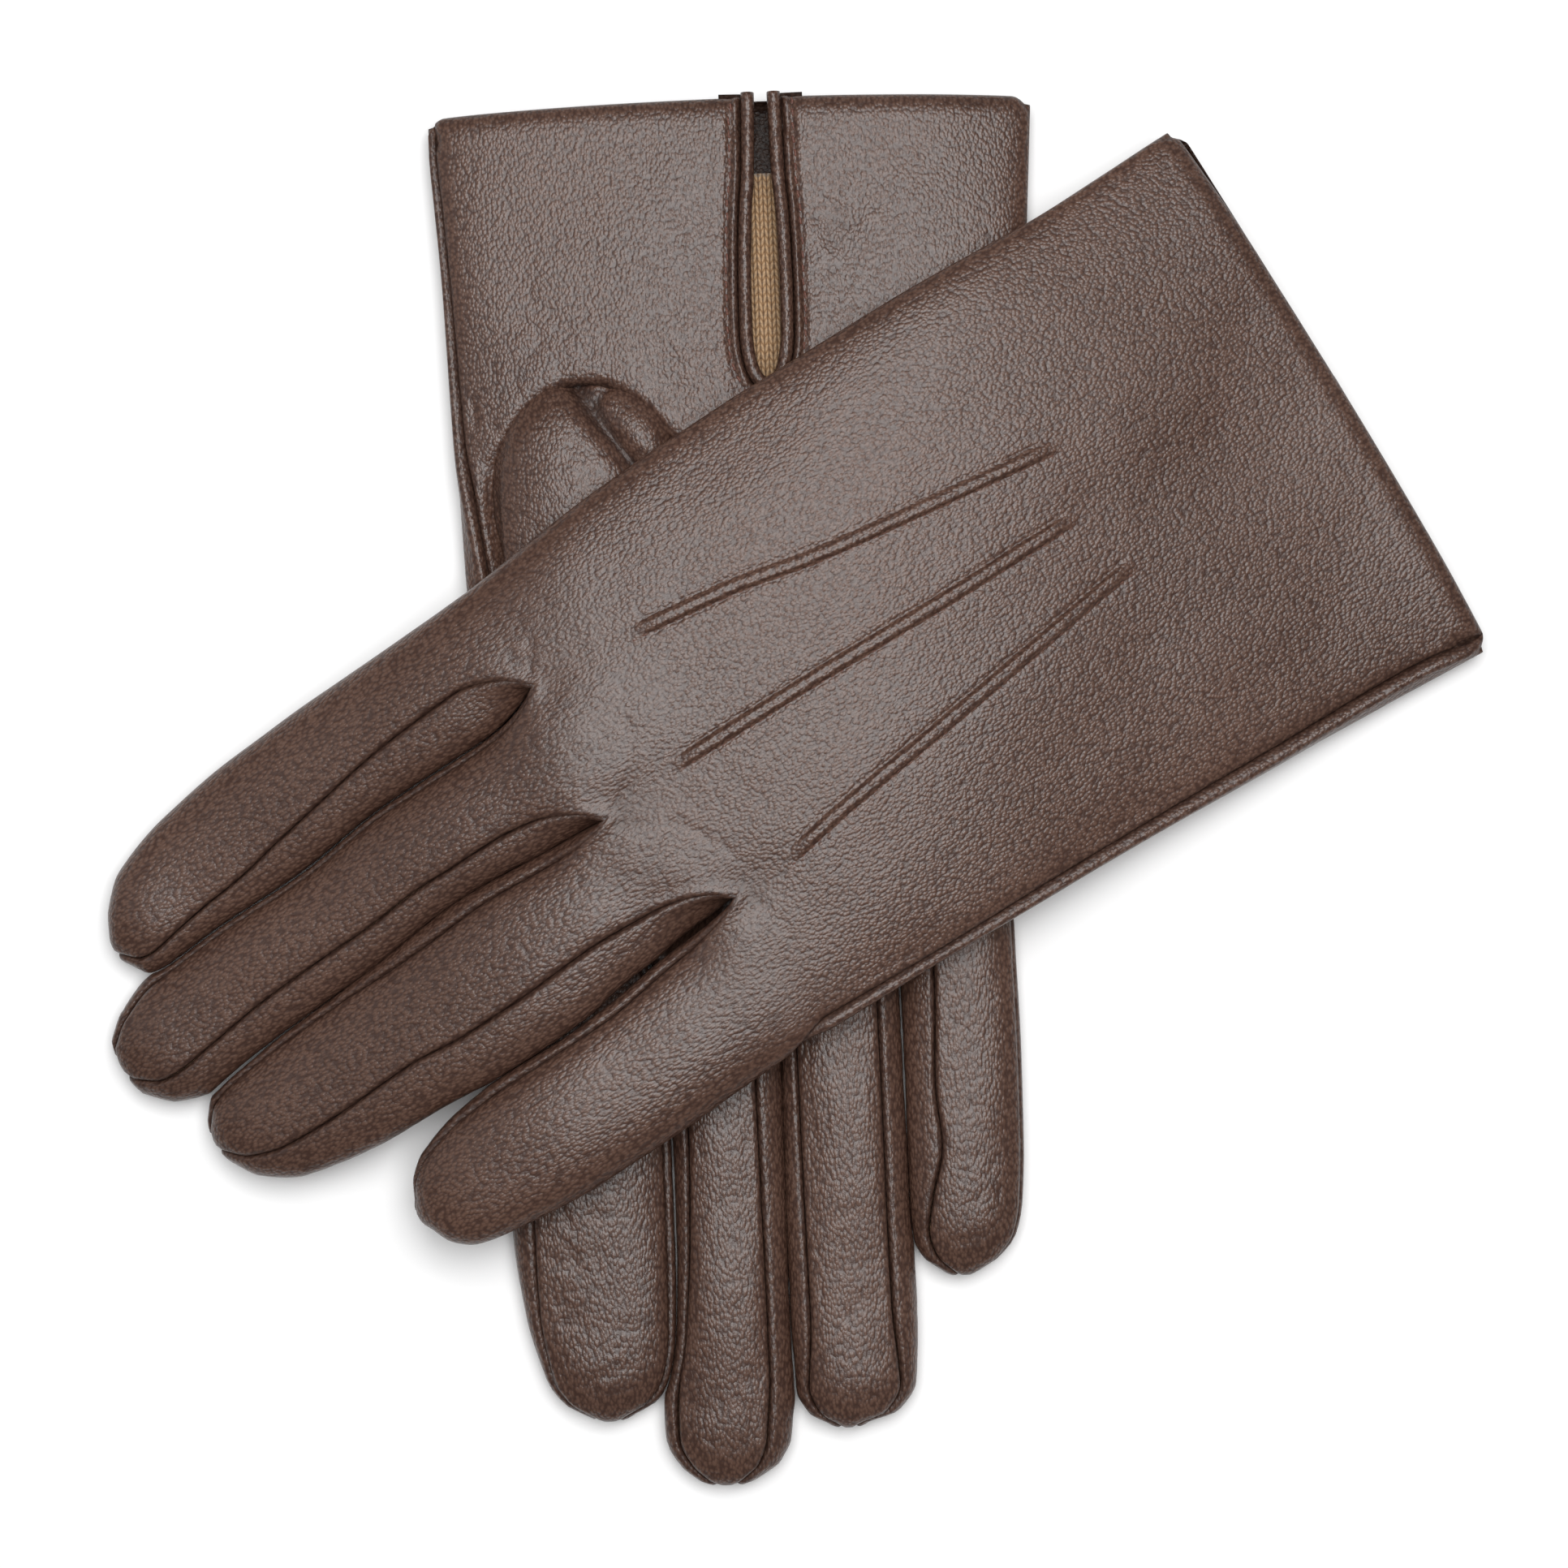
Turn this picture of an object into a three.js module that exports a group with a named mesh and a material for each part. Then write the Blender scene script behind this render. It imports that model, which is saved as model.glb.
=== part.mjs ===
// A pair of lined leather dress gloves, one laid across the other.
// The right glove lies palm up on the surface. The left glove lies back up across it.
// Units are millimetres and +Z is up.
//
// Both gloves share one way of naming a place on them:
//   u runs from the cuff edge to the fingertips,
//   v runs across, positive towards the index finger,
//   h is the height above the underside of that glove.
// A cross-section is a flattened superellipse. A place on its rim is an angle:
//   0 is the index edge, 90 degrees the middle of the back, 180 the little-finger edge
//   and 270 (or -90) the middle of the palm.
import * as THREE from 'three';

// ---- driving dimensions -------------------------------------------------------------
const LEATHER = 0.8;            // thickness of the glove leather
const LINING = 0.7;             // thickness of the knitted lining
const SEAM_GAP = 0.5;           // gap left between two pieces that are sewn together
const LAYER_GAP = 0.35;         // gap left between two layers
const LINING_DEPTH = 1.8;       // from the outside of the leather to the lining
const CUFF_THICKNESS = 10.4;    // whole flattened glove at the cuff
const HAND_THICKNESS = 11.2;    // whole flattened glove at the hand
const FINGER_THICKNESS = 10.4;  // one flattened finger
const TIP_THICKNESS = 2.8;      // last section of a finger, where back and palm close
const TIP_MIDDLE = 4.3;         // height of the middle of that section
const HAND_POWER = 3.5;         // superellipse power of the hand's section
const FINGER_POWER = 2.6;       // superellipse power of a finger's section
const UNDERSIDE_PRESS = 1.08;   // how far the underside is pressed flat on what it lies on
const CUFF_BOW = 2.6;           // how far the middle of the cuff edge stands past its corners
const FACING_DEPTH = 14;        // leather facing turned inside the cuff
const VENT_LENGTH = 50;         // slit in the palm, from the cuff edge
const VENT_X = -0.1;            // place of the slit across the palm, as a part of the half width
const VENT_HALF_GAP = 3.4;      // half of the slit in the palm leather
const PIPING = 1.5;             // width of the piping round the slit
const PIPING_PROUD = 0.4;       // how far the piping stands over the palm
const VENT_BEND_STEPS = 6;      // facets of the bend at the slit's end
const FACING = 0.5;             // thickness of the leather facings
const THUMB_LINING = 0.5;       // thickness of the lining inside the thumb
const VENT_FACING_WIDTH = 7.2;  // half width of the strip behind the slit
const THUMB_RECESS = 4.2;       // how far the palm dips under the folded thumb
const THUMB_DIP = { start: 72, end: 138, centre: 28, reach: 14.6, slope: 8 };
const LIFT_BASE = 14.8;         // height of the left glove's underside over the right glove
const FLOOR_CLEARANCE = 0.45;   // room for its piping where it comes down to the surface
const DRAPE = { cuffSide: [5, 118], fingerSide: [35, 125] }; // where it comes down, along X

const BACK = 1;
const PALM = -1;

// Places across the hand, as parts of its half width, where the columns of each face run.
// The index seam lies on the palm face and the little-finger seam on the back face.
const INDEX_SEAM = [0.95, PALM];
const LITTLE_SEAM = [-0.95, BACK];
const HAND_ROWS = [0, 14, 26, 38, 46, 50, 60, 72, 84, 97, 114, 132, 150];
const LAST_HAND_ROW = 150;
const KNUCKLE_START = 97;       // rows past this one bend towards the crotches
const THUMB_HOLE = { u: 67, v: 28.5, halfLength: 19, halfWidth: 16 };
const THUMB_HOLE_ROWS = [50, 84];
const COLUMNS_PER_FINGER = 3;

// Each finger: rows of [u, edge towards the index, edge towards the little finger].
// Seams are given as parts of the half width, on the back or the palm face.
const FINGER_NAMES = ['index', 'middle', 'ring', 'little'];
const FINGER_SEAMS = {
  index: { back: [[0.8, PALM], [-0.3, BACK]], palm: [[0.8, PALM], [-0.9, PALM]] },
  middle: { back: [[0.95, BACK], [-0.5, BACK]], palm: [[0.83, PALM], [-0.6, PALM]] },
  ring: { back: [[0.84, BACK], [-0.4, BACK]], palm: [[0.83, PALM], [-0.65, PALM]] },
  little: { back: [[0.87, BACK], [-0.97, PALM]], palm: [[0.5, PALM], [-0.97, PALM]] },
};

const LEFT = {
  name: 'left',
  upFace: BACK,
  cuff: [95.6, 72.1],
  heading: 211.8,
  hand: [[0, 55.6, -55.6], [30, 54.6, -53.6], [60, 55.4, -52], [92, 55.5, -50.8], [120, 54, -50.3],
    [150, 50.8, -50.5]],
  crotches: [[150.5, 30], [152, 3], [139.5, -21.5]],
  outerKnuckles: [150, 137],
  fingers: {
    index: [[156, 50.6, 27.4], [164, 50.3, 26.9], [182, 49.4, 26.8], [204, 47.6, 24.4], [221, 44.8, 24],
      [233, 40.5, 23.1], [238, 35.8, 24], [240, 32, 26.5]],
    middle: [[157, 26.4, 4], [166, 26.1, 4.4], [184, 25.8, 5.2], [204, 23.6, 2.9], [222, 23.3, 1.6],
      [238, 21.9, -0.4], [246, 19, 1.6], [250.5, 15.5, 6]],
    ring: [[153, 2.8, -22], [162, 3, -22.6], [180, 4, -25.6], [200, 2, -25.4], [218, 0.7, -25.2],
      [232, -0.6, -23], [240, -2.7, -18.4], [243, -6, -14]],
    little: [[146, -23, -50.6], [156, -24.4, -50.9], [172, -26.7, -51.7], [188, -27, -52.2],
      [202, -28, -51.3], [211, -30.5, -50], [215.5, -33.8, -47], [217.5, -37.5, -43]],
  },
};

const RIGHT = {
  name: 'right',
  upFace: PALM,
  cuff: [-12.7, 122.8],
  heading: -87.7,
  hand: [[0, 55.6, -55.2], [30, 53.7, -52.9], [60, 52.6, -51], [90, 51.6, -49], [120, 50.6, -47.4],
    [150, 49.5, -46.4]],
  crotches: [[150.5, 23], [152, -1], [139.5, -23.5]],
  outerKnuckles: [150, 137],
  fingers: {
    index: [[157, 49.3, 20.2], [166, 49, 19.2], [185, 48, 18.6], [204, 46.8, 18.6], [218, 44.8, 18.6],
      [229, 41.5, 19.6], [234, 38, 22.8], [236.5, 33.5, 27]],
    middle: [[158, 19, -1.4], [168, 18, -1.8], [186, 17.6, -1.7], [206, 17.6, -1.5], [222, 17.7, -1.7],
      [232, 18.8, -2.2], [241, 18.6, -1.4], [246, 16, 0.8], [249, 12.6, 5]],
    ring: [[153, -2.6, -23.8], [162, -3, -24], [182, -3, -24.2], [204, -2.9, -24.3], [221, -3, -24.5],
      [232, -3.4, -23.9], [237.5, -6, -20.4], [239.3, -9.3, -15]],
    little: [[146, -24.8, -46.2], [156, -25.2, -46.1], [172, -25.4, -46.3], [188, -25.5, -45.8],
      [200, -25.6, -44.8], [206, -26.4, -43.2], [210, -28.4, -40], [212.3, -31.5, -36.5]],
  },
};

// The three raised points on the back of the hand: [u, v] at the knuckle end and the cuff end.
const POINTS = {
  index: [[130, 28.2], [48, 17.4]],
  middle: [[137, 4.7], [52, 4.7]],
  ring: [[127, -20], [47, -8]],
};
const THREAD_WIDTH = 0.7;
const THREAD_THICKNESS = 0.35;

// The thumb, as sections from its root in the palm to its tip. Each has the place of its
// outer middle and of its inner middle, as [u, height out of the palm], and its half width.
const THUMB_V = [28.5, 28.5, 28.3, 28, 27.6, 27.2, 26.9, 26.7];
const THUMB_OUTER = [[50.5, -1.6], [57, 1.1], [73, 1.5], [95, 1.5], [118, 1.5], [138, 1.4], [147.5, 0.4],
  [150.5, -0.5]];
const THUMB_INNER = [[83.5, -4.4], [89, -3.6], [97, -3.6], [108, -3.6], [122, -3.6], [138.6, -3.5],
  [147.5, -2.7], [150.5, -1.9]];
const THUMB_HALF_WIDTH = [14.6, 15.6, 15.6, 15, 14.2, 12.6, 9, 5];
const THUMB_SIDES = 12;

const LEATHER_LOOK = { color: 0x4b3429, roughness: 0.5, metalness: 0 };
const FACING_LOOK = { color: 0x35241c, roughness: 0.6, metalness: 0 };
const KNIT_LOOK = { color: 0xb48f66, roughness: 0.95, metalness: 0 };
const THREAD_LOOK = { color: 0x54291f, roughness: 0.7, metalness: 0 };

// ---- small helpers ------------------------------------------------------------------
const lerp = THREE.MathUtils.lerp;
const smooth = (value, start, end) => THREE.MathUtils.smoothstep(value, start, end);
const signedPower = (value, power) => Math.sign(value) * Math.abs(value) ** power;

// Straight interpolation in a table of rows that start with u.
function tableAt(table, u, column) {
  let next = table.findIndex((row) => row[0] > u);
  if (next === -1) next = table.length - 1;
  if (next === 0) next = 1;
  const [before, after] = [table[next - 1], table[next]];
  const part = (u - before[0]) / (after[0] - before[0]);
  return lerp(before[column], after[column], part);
}

// Rim angle of a place [x, face], measured over the back of the hand.
function angleOverBack([x, face], power) {
  const angle = Math.acos(signedPower(x, power / 2));
  if (face === BACK) return angle;
  return x > 0 ? -angle : 2 * Math.PI - angle;
}

// The same place, measured over the palm.
function angleOverPalm([x, face], power) {
  const angle = Math.acos(signedPower(x, power / 2));
  if (face === PALM) return -angle;
  return x > 0 ? angle : angle - 2 * Math.PI;
}

// ---- closed thin solids -------------------------------------------------------------
// A Skin gathers grids of points into one surface. Points that coincide become one.
class Skin {
  constructor() {
    this.points = [];
    this.faces = [];
    this.keys = new Map();
  }

  point(position) {
    const key = position.toArray().map((value) => Math.round(value * 1000)).join();
    if (!this.keys.has(key)) {
      this.keys.set(key, this.points.length);
      this.points.push(position.clone());
    }
    return this.keys.get(key);
  }

  // Adds a grid of rows. outward is a rough direction that the grid faces.
  grid(rows, outward, keep = () => true) {
    const faces = [];
    const facing = new THREE.Vector3();
    for (let row = 0; row + 1 < rows.length; row += 1) {
      for (let column = 0; column + 1 < rows[row].length; column += 1) {
        if (!keep(row, column)) continue;
        const corners = [rows[row][column], rows[row + 1][column], rows[row + 1][column + 1],
          rows[row][column + 1]];
        facing.add(quadNormal(corners));
        faces.push(corners.map((corner) => this.point(corner)));
      }
    }
    const reversed = facing.dot(outward) < 0;
    for (const face of faces) this.faces.push(reversed ? face.reverse() : face);
  }
}

function quadNormal([a, b, c, d]) {
  const across = new THREE.Vector3().subVectors(c, a);
  const along = new THREE.Vector3().subVectors(d, b);
  return across.cross(along);
}

// Edges of a skin that only one face has, and the outward normal of every point.
function measureSkin(skin) {
  const normals = skin.points.map(() => new THREE.Vector3());
  const edges = new Map();
  for (const face of skin.faces) {
    const normal = quadNormal(face.map((index) => skin.points[index]));
    normal.normalize();
    face.forEach((from, corner) => {
      const to = face[(corner + 1) % 4];
      normals[from].add(normal);
      if (edges.has(`${to},${from}`)) edges.delete(`${to},${from}`);
      else edges.set(`${from},${to}`, { from, to, normal });
    });
  }
  normals.forEach((normal) => normal.normalize());
  return { normals, edges: [...edges.values()] };
}

// Turns a skin into a closed solid. Its outer face lies depth under the skin, its inner face
// thickness deeper, and its edges draw back by half of gap. Points that the skin shares with
// whole, the skin of the whole glove, take their normals from there, so that pieces that
// meet at a seam are cut square to it.
function slab(skin, { depth = 0, thickness = LEATHER, gap = SEAM_GAP, whole = null }) {
  const count = skin.points.length;
  const { normals, edges } = measureSkin(skin);
  if (whole) {
    for (const [key, index] of skin.keys) {
      if (whole.normals.has(key)) normals[index] = whole.normals.get(key);
    }
  }
  const inward = skin.points.map(() => []);
  for (const { from, to, normal } of edges) {
    const along = new THREE.Vector3().subVectors(skin.points[to], skin.points[from]).normalize();
    const into = new THREE.Vector3().crossVectors(normal, along).normalize();
    inward[from].push(into);
    inward[to].push(into);
  }
  const outer = skin.points.map((point, index) => {
    const moved = point.clone().addScaledVector(normals[index], -depth);
    if (inward[index].length < 2) return moved;
    const [first, second] = inward[index];
    const middle = new THREE.Vector3().addVectors(first, second).normalize();
    return moved.addScaledVector(middle, gap / 2 / Math.max(0.6, middle.dot(first)));
  });
  const inner = outer.map((point, index) => point.clone().addScaledVector(normals[index], -thickness));
  const triangles = [];
  for (const [a, b, c, d] of skin.faces) {
    triangles.push(a, b, c, a, c, d);
    triangles.push(a + count, c + count, b + count, a + count, d + count, c + count);
  }
  for (const { from, to } of edges) {
    triangles.push(to, from, from + count, to, from + count, to + count);
  }
  const geometry = new THREE.BufferGeometry();
  const positions = [...outer, ...inner].flatMap((point) => point.toArray());
  geometry.setAttribute('position', new THREE.Float32BufferAttribute(positions, 3));
  geometry.setIndex(triangles);
  return geometry;
}

// ---- the shape of one glove ---------------------------------------------------------
// Height of the surface that a glove lies on: the left one drapes over the right one.
function restHeight(glove, x) {
  if (glove === RIGHT) return 0;
  const overEdge = x > 0 ? smooth(x, ...DRAPE.cuffSide) : smooth(-x, ...DRAPE.fingerSide);
  return FLOOR_CLEARANCE + LIFT_BASE * (1 - overEdge);
}

function place(glove, u, v, h) {
  const turn = THREE.MathUtils.degToRad(glove.heading);
  const x = glove.cuff[0] + u * Math.cos(turn) + v * Math.sin(turn);
  const y = glove.cuff[1] + u * Math.sin(turn) - v * Math.cos(turn);
  return new THREE.Vector3(x, y, restHeight(glove, x) + h);
}

const upright = (glove, face) => new THREE.Vector3(0, 0, face * glove.upFace);
function towardsIndex(glove) {
  return place(glove, 0, 1, 0).sub(place(glove, 0, 0, 0)).setZ(0);
}

// The dip in the palm that the folded thumb lies in.
function thumbDip(u, v) {
  const { start, end, centre, reach, slope } = THUMB_DIP;
  const along = THREE.MathUtils.clamp(u, start, end);
  const beyond = Math.hypot(u - along, v - centre) - reach;
  return THUMB_RECESS * (1 - smooth(beyond, 0, slope));
}

// A point [v, h] on the rim of a section.
function rimPoint(glove, section, angle) {
  const { centre, halfWidth, thickness, power } = section;
  const middle = section.middle ?? thickness / 2;
  const x = signedPower(Math.cos(angle), 2 / power);
  const face = signedPower(Math.sin(angle), 2 / power);
  const v = centre + halfWidth * x;
  const rise = face * glove.upFace;
  const press = rise < 0 ? UNDERSIDE_PRESS : 1;
  let h = Math.max(0, middle + thickness / 2 * press * rise);
  if (section.dipAt !== undefined) h += thumbDip(section.dipAt, v) * smooth(-face, 0, 0.8) * glove.upFace;
  return [v, h];
}

function handSection(glove, u) {
  const [left, right] = [tableAt(glove.hand, u, 1), tableAt(glove.hand, u, 2)];
  return {
    centre: (left + right) / 2,
    halfWidth: (left - right) / 2,
    thickness: lerp(CUFF_THICKNESS, HAND_THICKNESS, smooth(u, 0, 45)),
    power: HAND_POWER,
    dipAt: u,
  };
}

// Height of a face of the hand at [u, v].
function faceHeight(glove, face, u, v) {
  const section = handSection(glove, u);
  const x = (v - section.centre) / section.halfWidth;
  return rimPoint(glove, section, angleOverBack([x, face], HAND_POWER))[1];
}

// Knuckle line: u of the last hand row at the part x of the half width.
function knuckleU(glove, x) {
  const { centre, halfWidth } = handSection(glove, LAST_HAND_ROW);
  const line = [[-1, glove.outerKnuckles[1]],
    ...[...glove.crotches].reverse().map(([u, v]) => [(v - centre) / halfWidth, u]),
    [1, glove.outerKnuckles[0]]];
  return tableAt(line, THREE.MathUtils.clamp(x, -1, 1), 1);
}

function handU(glove, row, x) {
  const bow = CUFF_BOW * (1 - x ** 2) * Math.max(0, 1 - row / 36);
  if (row <= KNUCKLE_START) return row - bow;
  const part = (row - KNUCKLE_START) / (LAST_HAND_ROW - KNUCKLE_START);
  return lerp(KNUCKLE_START, knuckleU(glove, x), part);
}

// Columns of one face of the hand, with the crotches as columns between the fingers. A third
// value is the column's place at the cuff, where it differs.
function handColumns(glove, face) {
  const { centre, halfWidth } = handSection(glove, LAST_HAND_ROW);
  const [first, second, third] = glove.crotches.map(([, v]) => (v - centre) / halfWidth);
  if (face === BACK) {
    return [INDEX_SEAM, [1, BACK], [0.85, BACK], [first, BACK],
      [lerp(first, second, 1 / 3), BACK], [lerp(first, second, 2 / 3), BACK], [second, BACK],
      [lerp(second, third, 1 / 3), BACK], [lerp(second, third, 2 / 3), BACK], [third, BACK],
      [-0.63, BACK], [-0.82, BACK], LITTLE_SEAM];
  }
  return [INDEX_SEAM, [0.86, PALM], [0.72, PALM], [first, PALM],
    [lerp(first, 0.22, 0.5), PALM], [0.22, PALM], [second, PALM, 0.1],
    [VENT_X, PALM], [-0.28, PALM], [third, PALM],
    [-0.8, PALM], [-1, PALM], LITTLE_SEAM];
}

// Point of the hand on one column of a face.
function handPoint(glove, face, [knuckleX, side, cuffX = knuckleX], row, drawBack = 0) {
  const measure = face === BACK ? angleOverBack : angleOverPalm;
  const x = lerp(cuffX, knuckleX, smooth(row, VENT_LENGTH, 132));
  const u = handU(glove, row, x);
  const [v, h] = rimPoint(glove, handSection(glove, u), measure([x, side], HAND_POWER));
  return { u: row === LAST_HAND_ROW ? u - drawBack : u, v, h };
}

// Rows of points along one finger, for rim angles that run between two seams.
function fingerRows(glove, name, starts, anglesAt, tipRows) {
  const table = glove.fingers[name];
  const tip = table[table.length - 1][0];
  const first = table[0][0] - 6;
  const rows = [starts.map((start) => place(glove, start.u, start.v, start.h))];
  table.slice(0, table.length - 1 + tipRows).forEach(([u, left, right]) => {
    const part = (u - first) / (tip - first);
    const fromTip = Math.min(1, (tip - u) / 13);
    const fullness = (1 - (1 - fromTip) ** 2.4) ** (1 / 2.4);
    const section = {
      centre: (left + right) / 2,
      halfWidth: (left - right) / 2,
      thickness: lerp(TIP_THICKNESS, FINGER_THICKNESS, fullness),
      middle: lerp(TIP_MIDDLE, FINGER_THICKNESS / 2, fullness),
      power: FINGER_POWER,
    };
    const blend = smooth(u - first, 0, 15);
    rows.push(starts.map((start, index) => {
      const [v, h] = rimPoint(glove, section, anglesAt(index));
      return place(glove, lerp(start.u, tip, part), lerp(start.v, v, blend), lerp(start.h, h, blend));
    }));
  });
  return rows;
}

// One face of the hand and fingers: a grid over the hand that goes on over each finger.
function addFace(skin, glove, face, options = {}) {
  const { handRows = HAND_ROWS, slit = 0, slitLength = VENT_LENGTH, hole = false } = options;
  const { tipRows = 1, drawBack = 0 } = options;
  const columns = handColumns(glove, face);
  const outward = upright(glove, face);
  const grid = handRows.map((row) => columns.map((column) => handPoint(glove, face, column, row, drawBack)));
  if (hole) shapeThumbHole(glove, grid, handRows);
  const slitColumn = columns.findIndex(([x, side]) => x === VENT_X && side === PALM);
  const slitRow = handRows.indexOf(slitLength);
  const inHole = (row, column) => hole && handRows[row] >= THUMB_HOLE_ROWS[0]
    && handRows[row + 1] <= THUMB_HOLE_ROWS[1] && column >= 1 && column < 5;
  for (const side of [1, -1]) {
    const opened = grid.map((row, index) => row.map(({ u, v, h }, column) => {
      const shift = column === slitColumn && index < slitRow ? side * slit : 0;
      return place(glove, u, v + shift, h);
    }));
    const onSide = (column) => (slitColumn === -1 ? side > 0 : (column < slitColumn) === (side > 0));
    skin.grid(opened, outward, (row, column) => onSide(column) && !inHole(row, column));
  }
  FINGER_NAMES.forEach((name, finger) => {
    const seams = FINGER_SEAMS[name][face === BACK ? 'back' : 'palm'];
    const measure = face === BACK ? angleOverBack : angleOverPalm;
    const [from, to] = seams.map((seam) => measure(seam, FINGER_POWER));
    const offset = finger * COLUMNS_PER_FINGER;
    const starts = grid[grid.length - 1].slice(offset, offset + COLUMNS_PER_FINGER + 1);
    const anglesAt = (index) => lerp(from, to, index / COLUMNS_PER_FINGER);
    skin.grid(fingerRows(glove, name, starts, anglesAt, tipRows), outward);
  });
}

// Moves the points round the thumb hole on to an oval.
function shapeThumbHole(glove, grid, handRows) {
  const [firstRow, lastRow] = THUMB_HOLE_ROWS.map((u) => handRows.indexOf(u));
  for (let row = firstRow; row <= lastRow; row += 1) {
    for (let column = 1; column <= 5; column += 1) {
      const onEdge = row === firstRow || row === lastRow || column === 1 || column === 5;
      if (!onEdge) continue;
      const point = grid[row][column];
      const angle = Math.atan2((point.v - THUMB_HOLE.v) / THUMB_HOLE.halfWidth,
        (point.u - THUMB_HOLE.u) / THUMB_HOLE.halfLength);
      const u = THUMB_HOLE.u + THUMB_HOLE.halfLength * Math.cos(angle);
      const v = THUMB_HOLE.v + THUMB_HOLE.halfWidth * Math.sin(angle);
      grid[row][column] = { u, v, h: faceHeight(glove, PALM, u, v) };
    }
  }
}

// The strip between two fingers: along one finger's side, round the crotch, along the next.
function addFourchette(skin, glove, crotch, options = {}) {
  const { tipRows = 1, drawBack = 0 } = options;
  const across = [0, 1 / 3, 2 / 3, 1];
  const column = (crotch + 1) * COLUMNS_PER_FINGER;
  const top = handPoint(glove, BACK, handColumns(glove, BACK)[column], LAST_HAND_ROW, drawBack);
  const bottom = handPoint(glove, PALM, handColumns(glove, PALM)[column], LAST_HAND_ROW, drawBack);
  const starts = across.map((part) => ({
    u: lerp(top.u, bottom.u, part),
    v: lerp(top.v, bottom.v, part),
    h: lerp(top.h, bottom.h, part),
  }));
  [0, 1].forEach((side) => {
    const name = FINGER_NAMES[crotch + side];
    const end = 1 - side;
    const from = angleOverBack(FINGER_SEAMS[name].back[end], FINGER_POWER);
    const to = angleOverBack(FINGER_SEAMS[name].palm[end], FINGER_POWER);
    const anglesAt = (index) => lerp(from, to, across[index]);
    const outward = towardsIndex(glove).multiplyScalar(side === 0 ? -1 : 1);
    skin.grid(fingerRows(glove, name, starts, anglesAt, tipRows), outward);
  });
}

// ---- the pieces of one glove --------------------------------------------------------
const LEATHER_PALM = { slit: VENT_HALF_GAP, hole: true };

// The whole outside of a glove, with the outward normal of each of its points.
function wholeGlove(glove) {
  const skin = new Skin();
  addFace(skin, glove, BACK);
  addFace(skin, glove, PALM, LEATHER_PALM);
  [0, 1, 2].forEach((crotch) => addFourchette(skin, glove, crotch));
  const { normals } = measureSkin(skin);
  return { normals: new Map([...skin.keys].map(([key, index]) => [key, normals[index]])) };
}

function panel(glove, whole, face, options) {
  const skin = new Skin();
  addFace(skin, glove, face, options);
  return slab(skin, { whole });
}

function fourchette(glove, whole, crotch) {
  const skin = new Skin();
  addFourchette(skin, glove, crotch);
  return slab(skin, { whole });
}

// The knitted lining starts where the leather facing inside the cuff ends.
function lining(glove, whole) {
  const handRows = HAND_ROWS.slice(1);
  const skin = new Skin();
  const inside = { handRows, tipRows: 0, drawBack: 1.6 };
  addFace(skin, glove, BACK, inside);
  addFace(skin, glove, PALM, { ...inside, slit: VENT_FACING_WIDTH + 0.6, slitLength: 60, hole: true });
  [0, 1, 2].forEach((crotch) => addFourchette(skin, glove, crotch, inside));
  return slab(skin, { depth: LINING_DEPTH, thickness: LINING, whole });
}

// Band of leather inside the cuff, from one side of the slit round to the other.
function cuffFacing(glove, whole) {
  const palm = handColumns(glove, PALM);
  const back = handColumns(glove, BACK);
  const slitColumn = palm.findIndex(([x]) => x === VENT_X);
  const rowOf = (face, columns, row) => columns.map((column) => {
    const { u, v, h } = handPoint(glove, face, column, row);
    return place(glove, u, v, h);
  });
  const rows = [0, FACING_DEPTH].map((row) => [
    rowOf(PALM, palm.slice(0, slitColumn).reverse(), row),
    rowOf(BACK, back, row),
    rowOf(PALM, palm.slice(slitColumn + 1).reverse(), row),
  ]);
  const skin = new Skin();
  [PALM, BACK, PALM].forEach((face, part) => {
    skin.grid(rows.map((row) => row[part]), upright(glove, face));
  });
  return slab(skin, { depth: LEATHER + LAYER_GAP, thickness: FACING, whole });
}

// Middle line of a U round the slit: [u, v] points at a distance from the slit's centre line.
function ventRoute(glove, distance, startU) {
  const centreAt = (u) => {
    const { centre, halfWidth } = handSection(glove, u);
    return centre + VENT_X * halfWidth;
  };
  const bendCentre = VENT_LENGTH - 5.2;
  const straight = [startU, ...HAND_ROWS.filter((row) => row > 0 && row < bendCentre - 1)];
  const bend = [];
  for (let step = 0; step <= VENT_BEND_STEPS; step += 1) {
    const angle = Math.PI * step / VENT_BEND_STEPS;
    bend.push([bendCentre + distance * Math.sin(angle), centreAt(45) + distance * Math.cos(angle)]);
  }
  return [...straight.map((u) => [u, centreAt(u) + distance]), ...bend,
    ...straight.reverse().map((u) => [u, centreAt(u) - distance])];
}

// A flat band round the slit between two distances from its centre line.
function ventBand(glove, near, far, options) {
  const skin = new Skin();
  const toPoint = ([u, v]) => place(glove, u, v, faceHeight(glove, PALM, u, v));
  const edges = [near, far].map((distance) => ventRoute(glove, distance, options.startU).map(toPoint));
  skin.grid(edges, upright(glove, PALM));
  return slab(skin, { gap: 0, ...options });
}

// The thread of one raised point, on the inside of the back panel.
function pointThread(glove, name) {
  const [[endU, endV], [startU, startV]] = POINTS[name];
  const stations = [startU, ...HAND_ROWS.filter((row) => row > startU + 2 && row < endU - 2), endU];
  const skin = new Skin();
  skin.grid(stations.map((u) => {
    const middle = lerp(startV, endV, (u - startU) / (endU - startU));
    return [-1, 1].map((side) => {
      const v = middle + side * THREAD_WIDTH / 2;
      return place(glove, u, v, faceHeight(glove, BACK, u, v));
    });
  }), upright(glove, BACK));
  return slab(skin, { depth: LEATHER + 0.28, thickness: THREAD_THICKNESS, gap: 0 });
}

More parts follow.
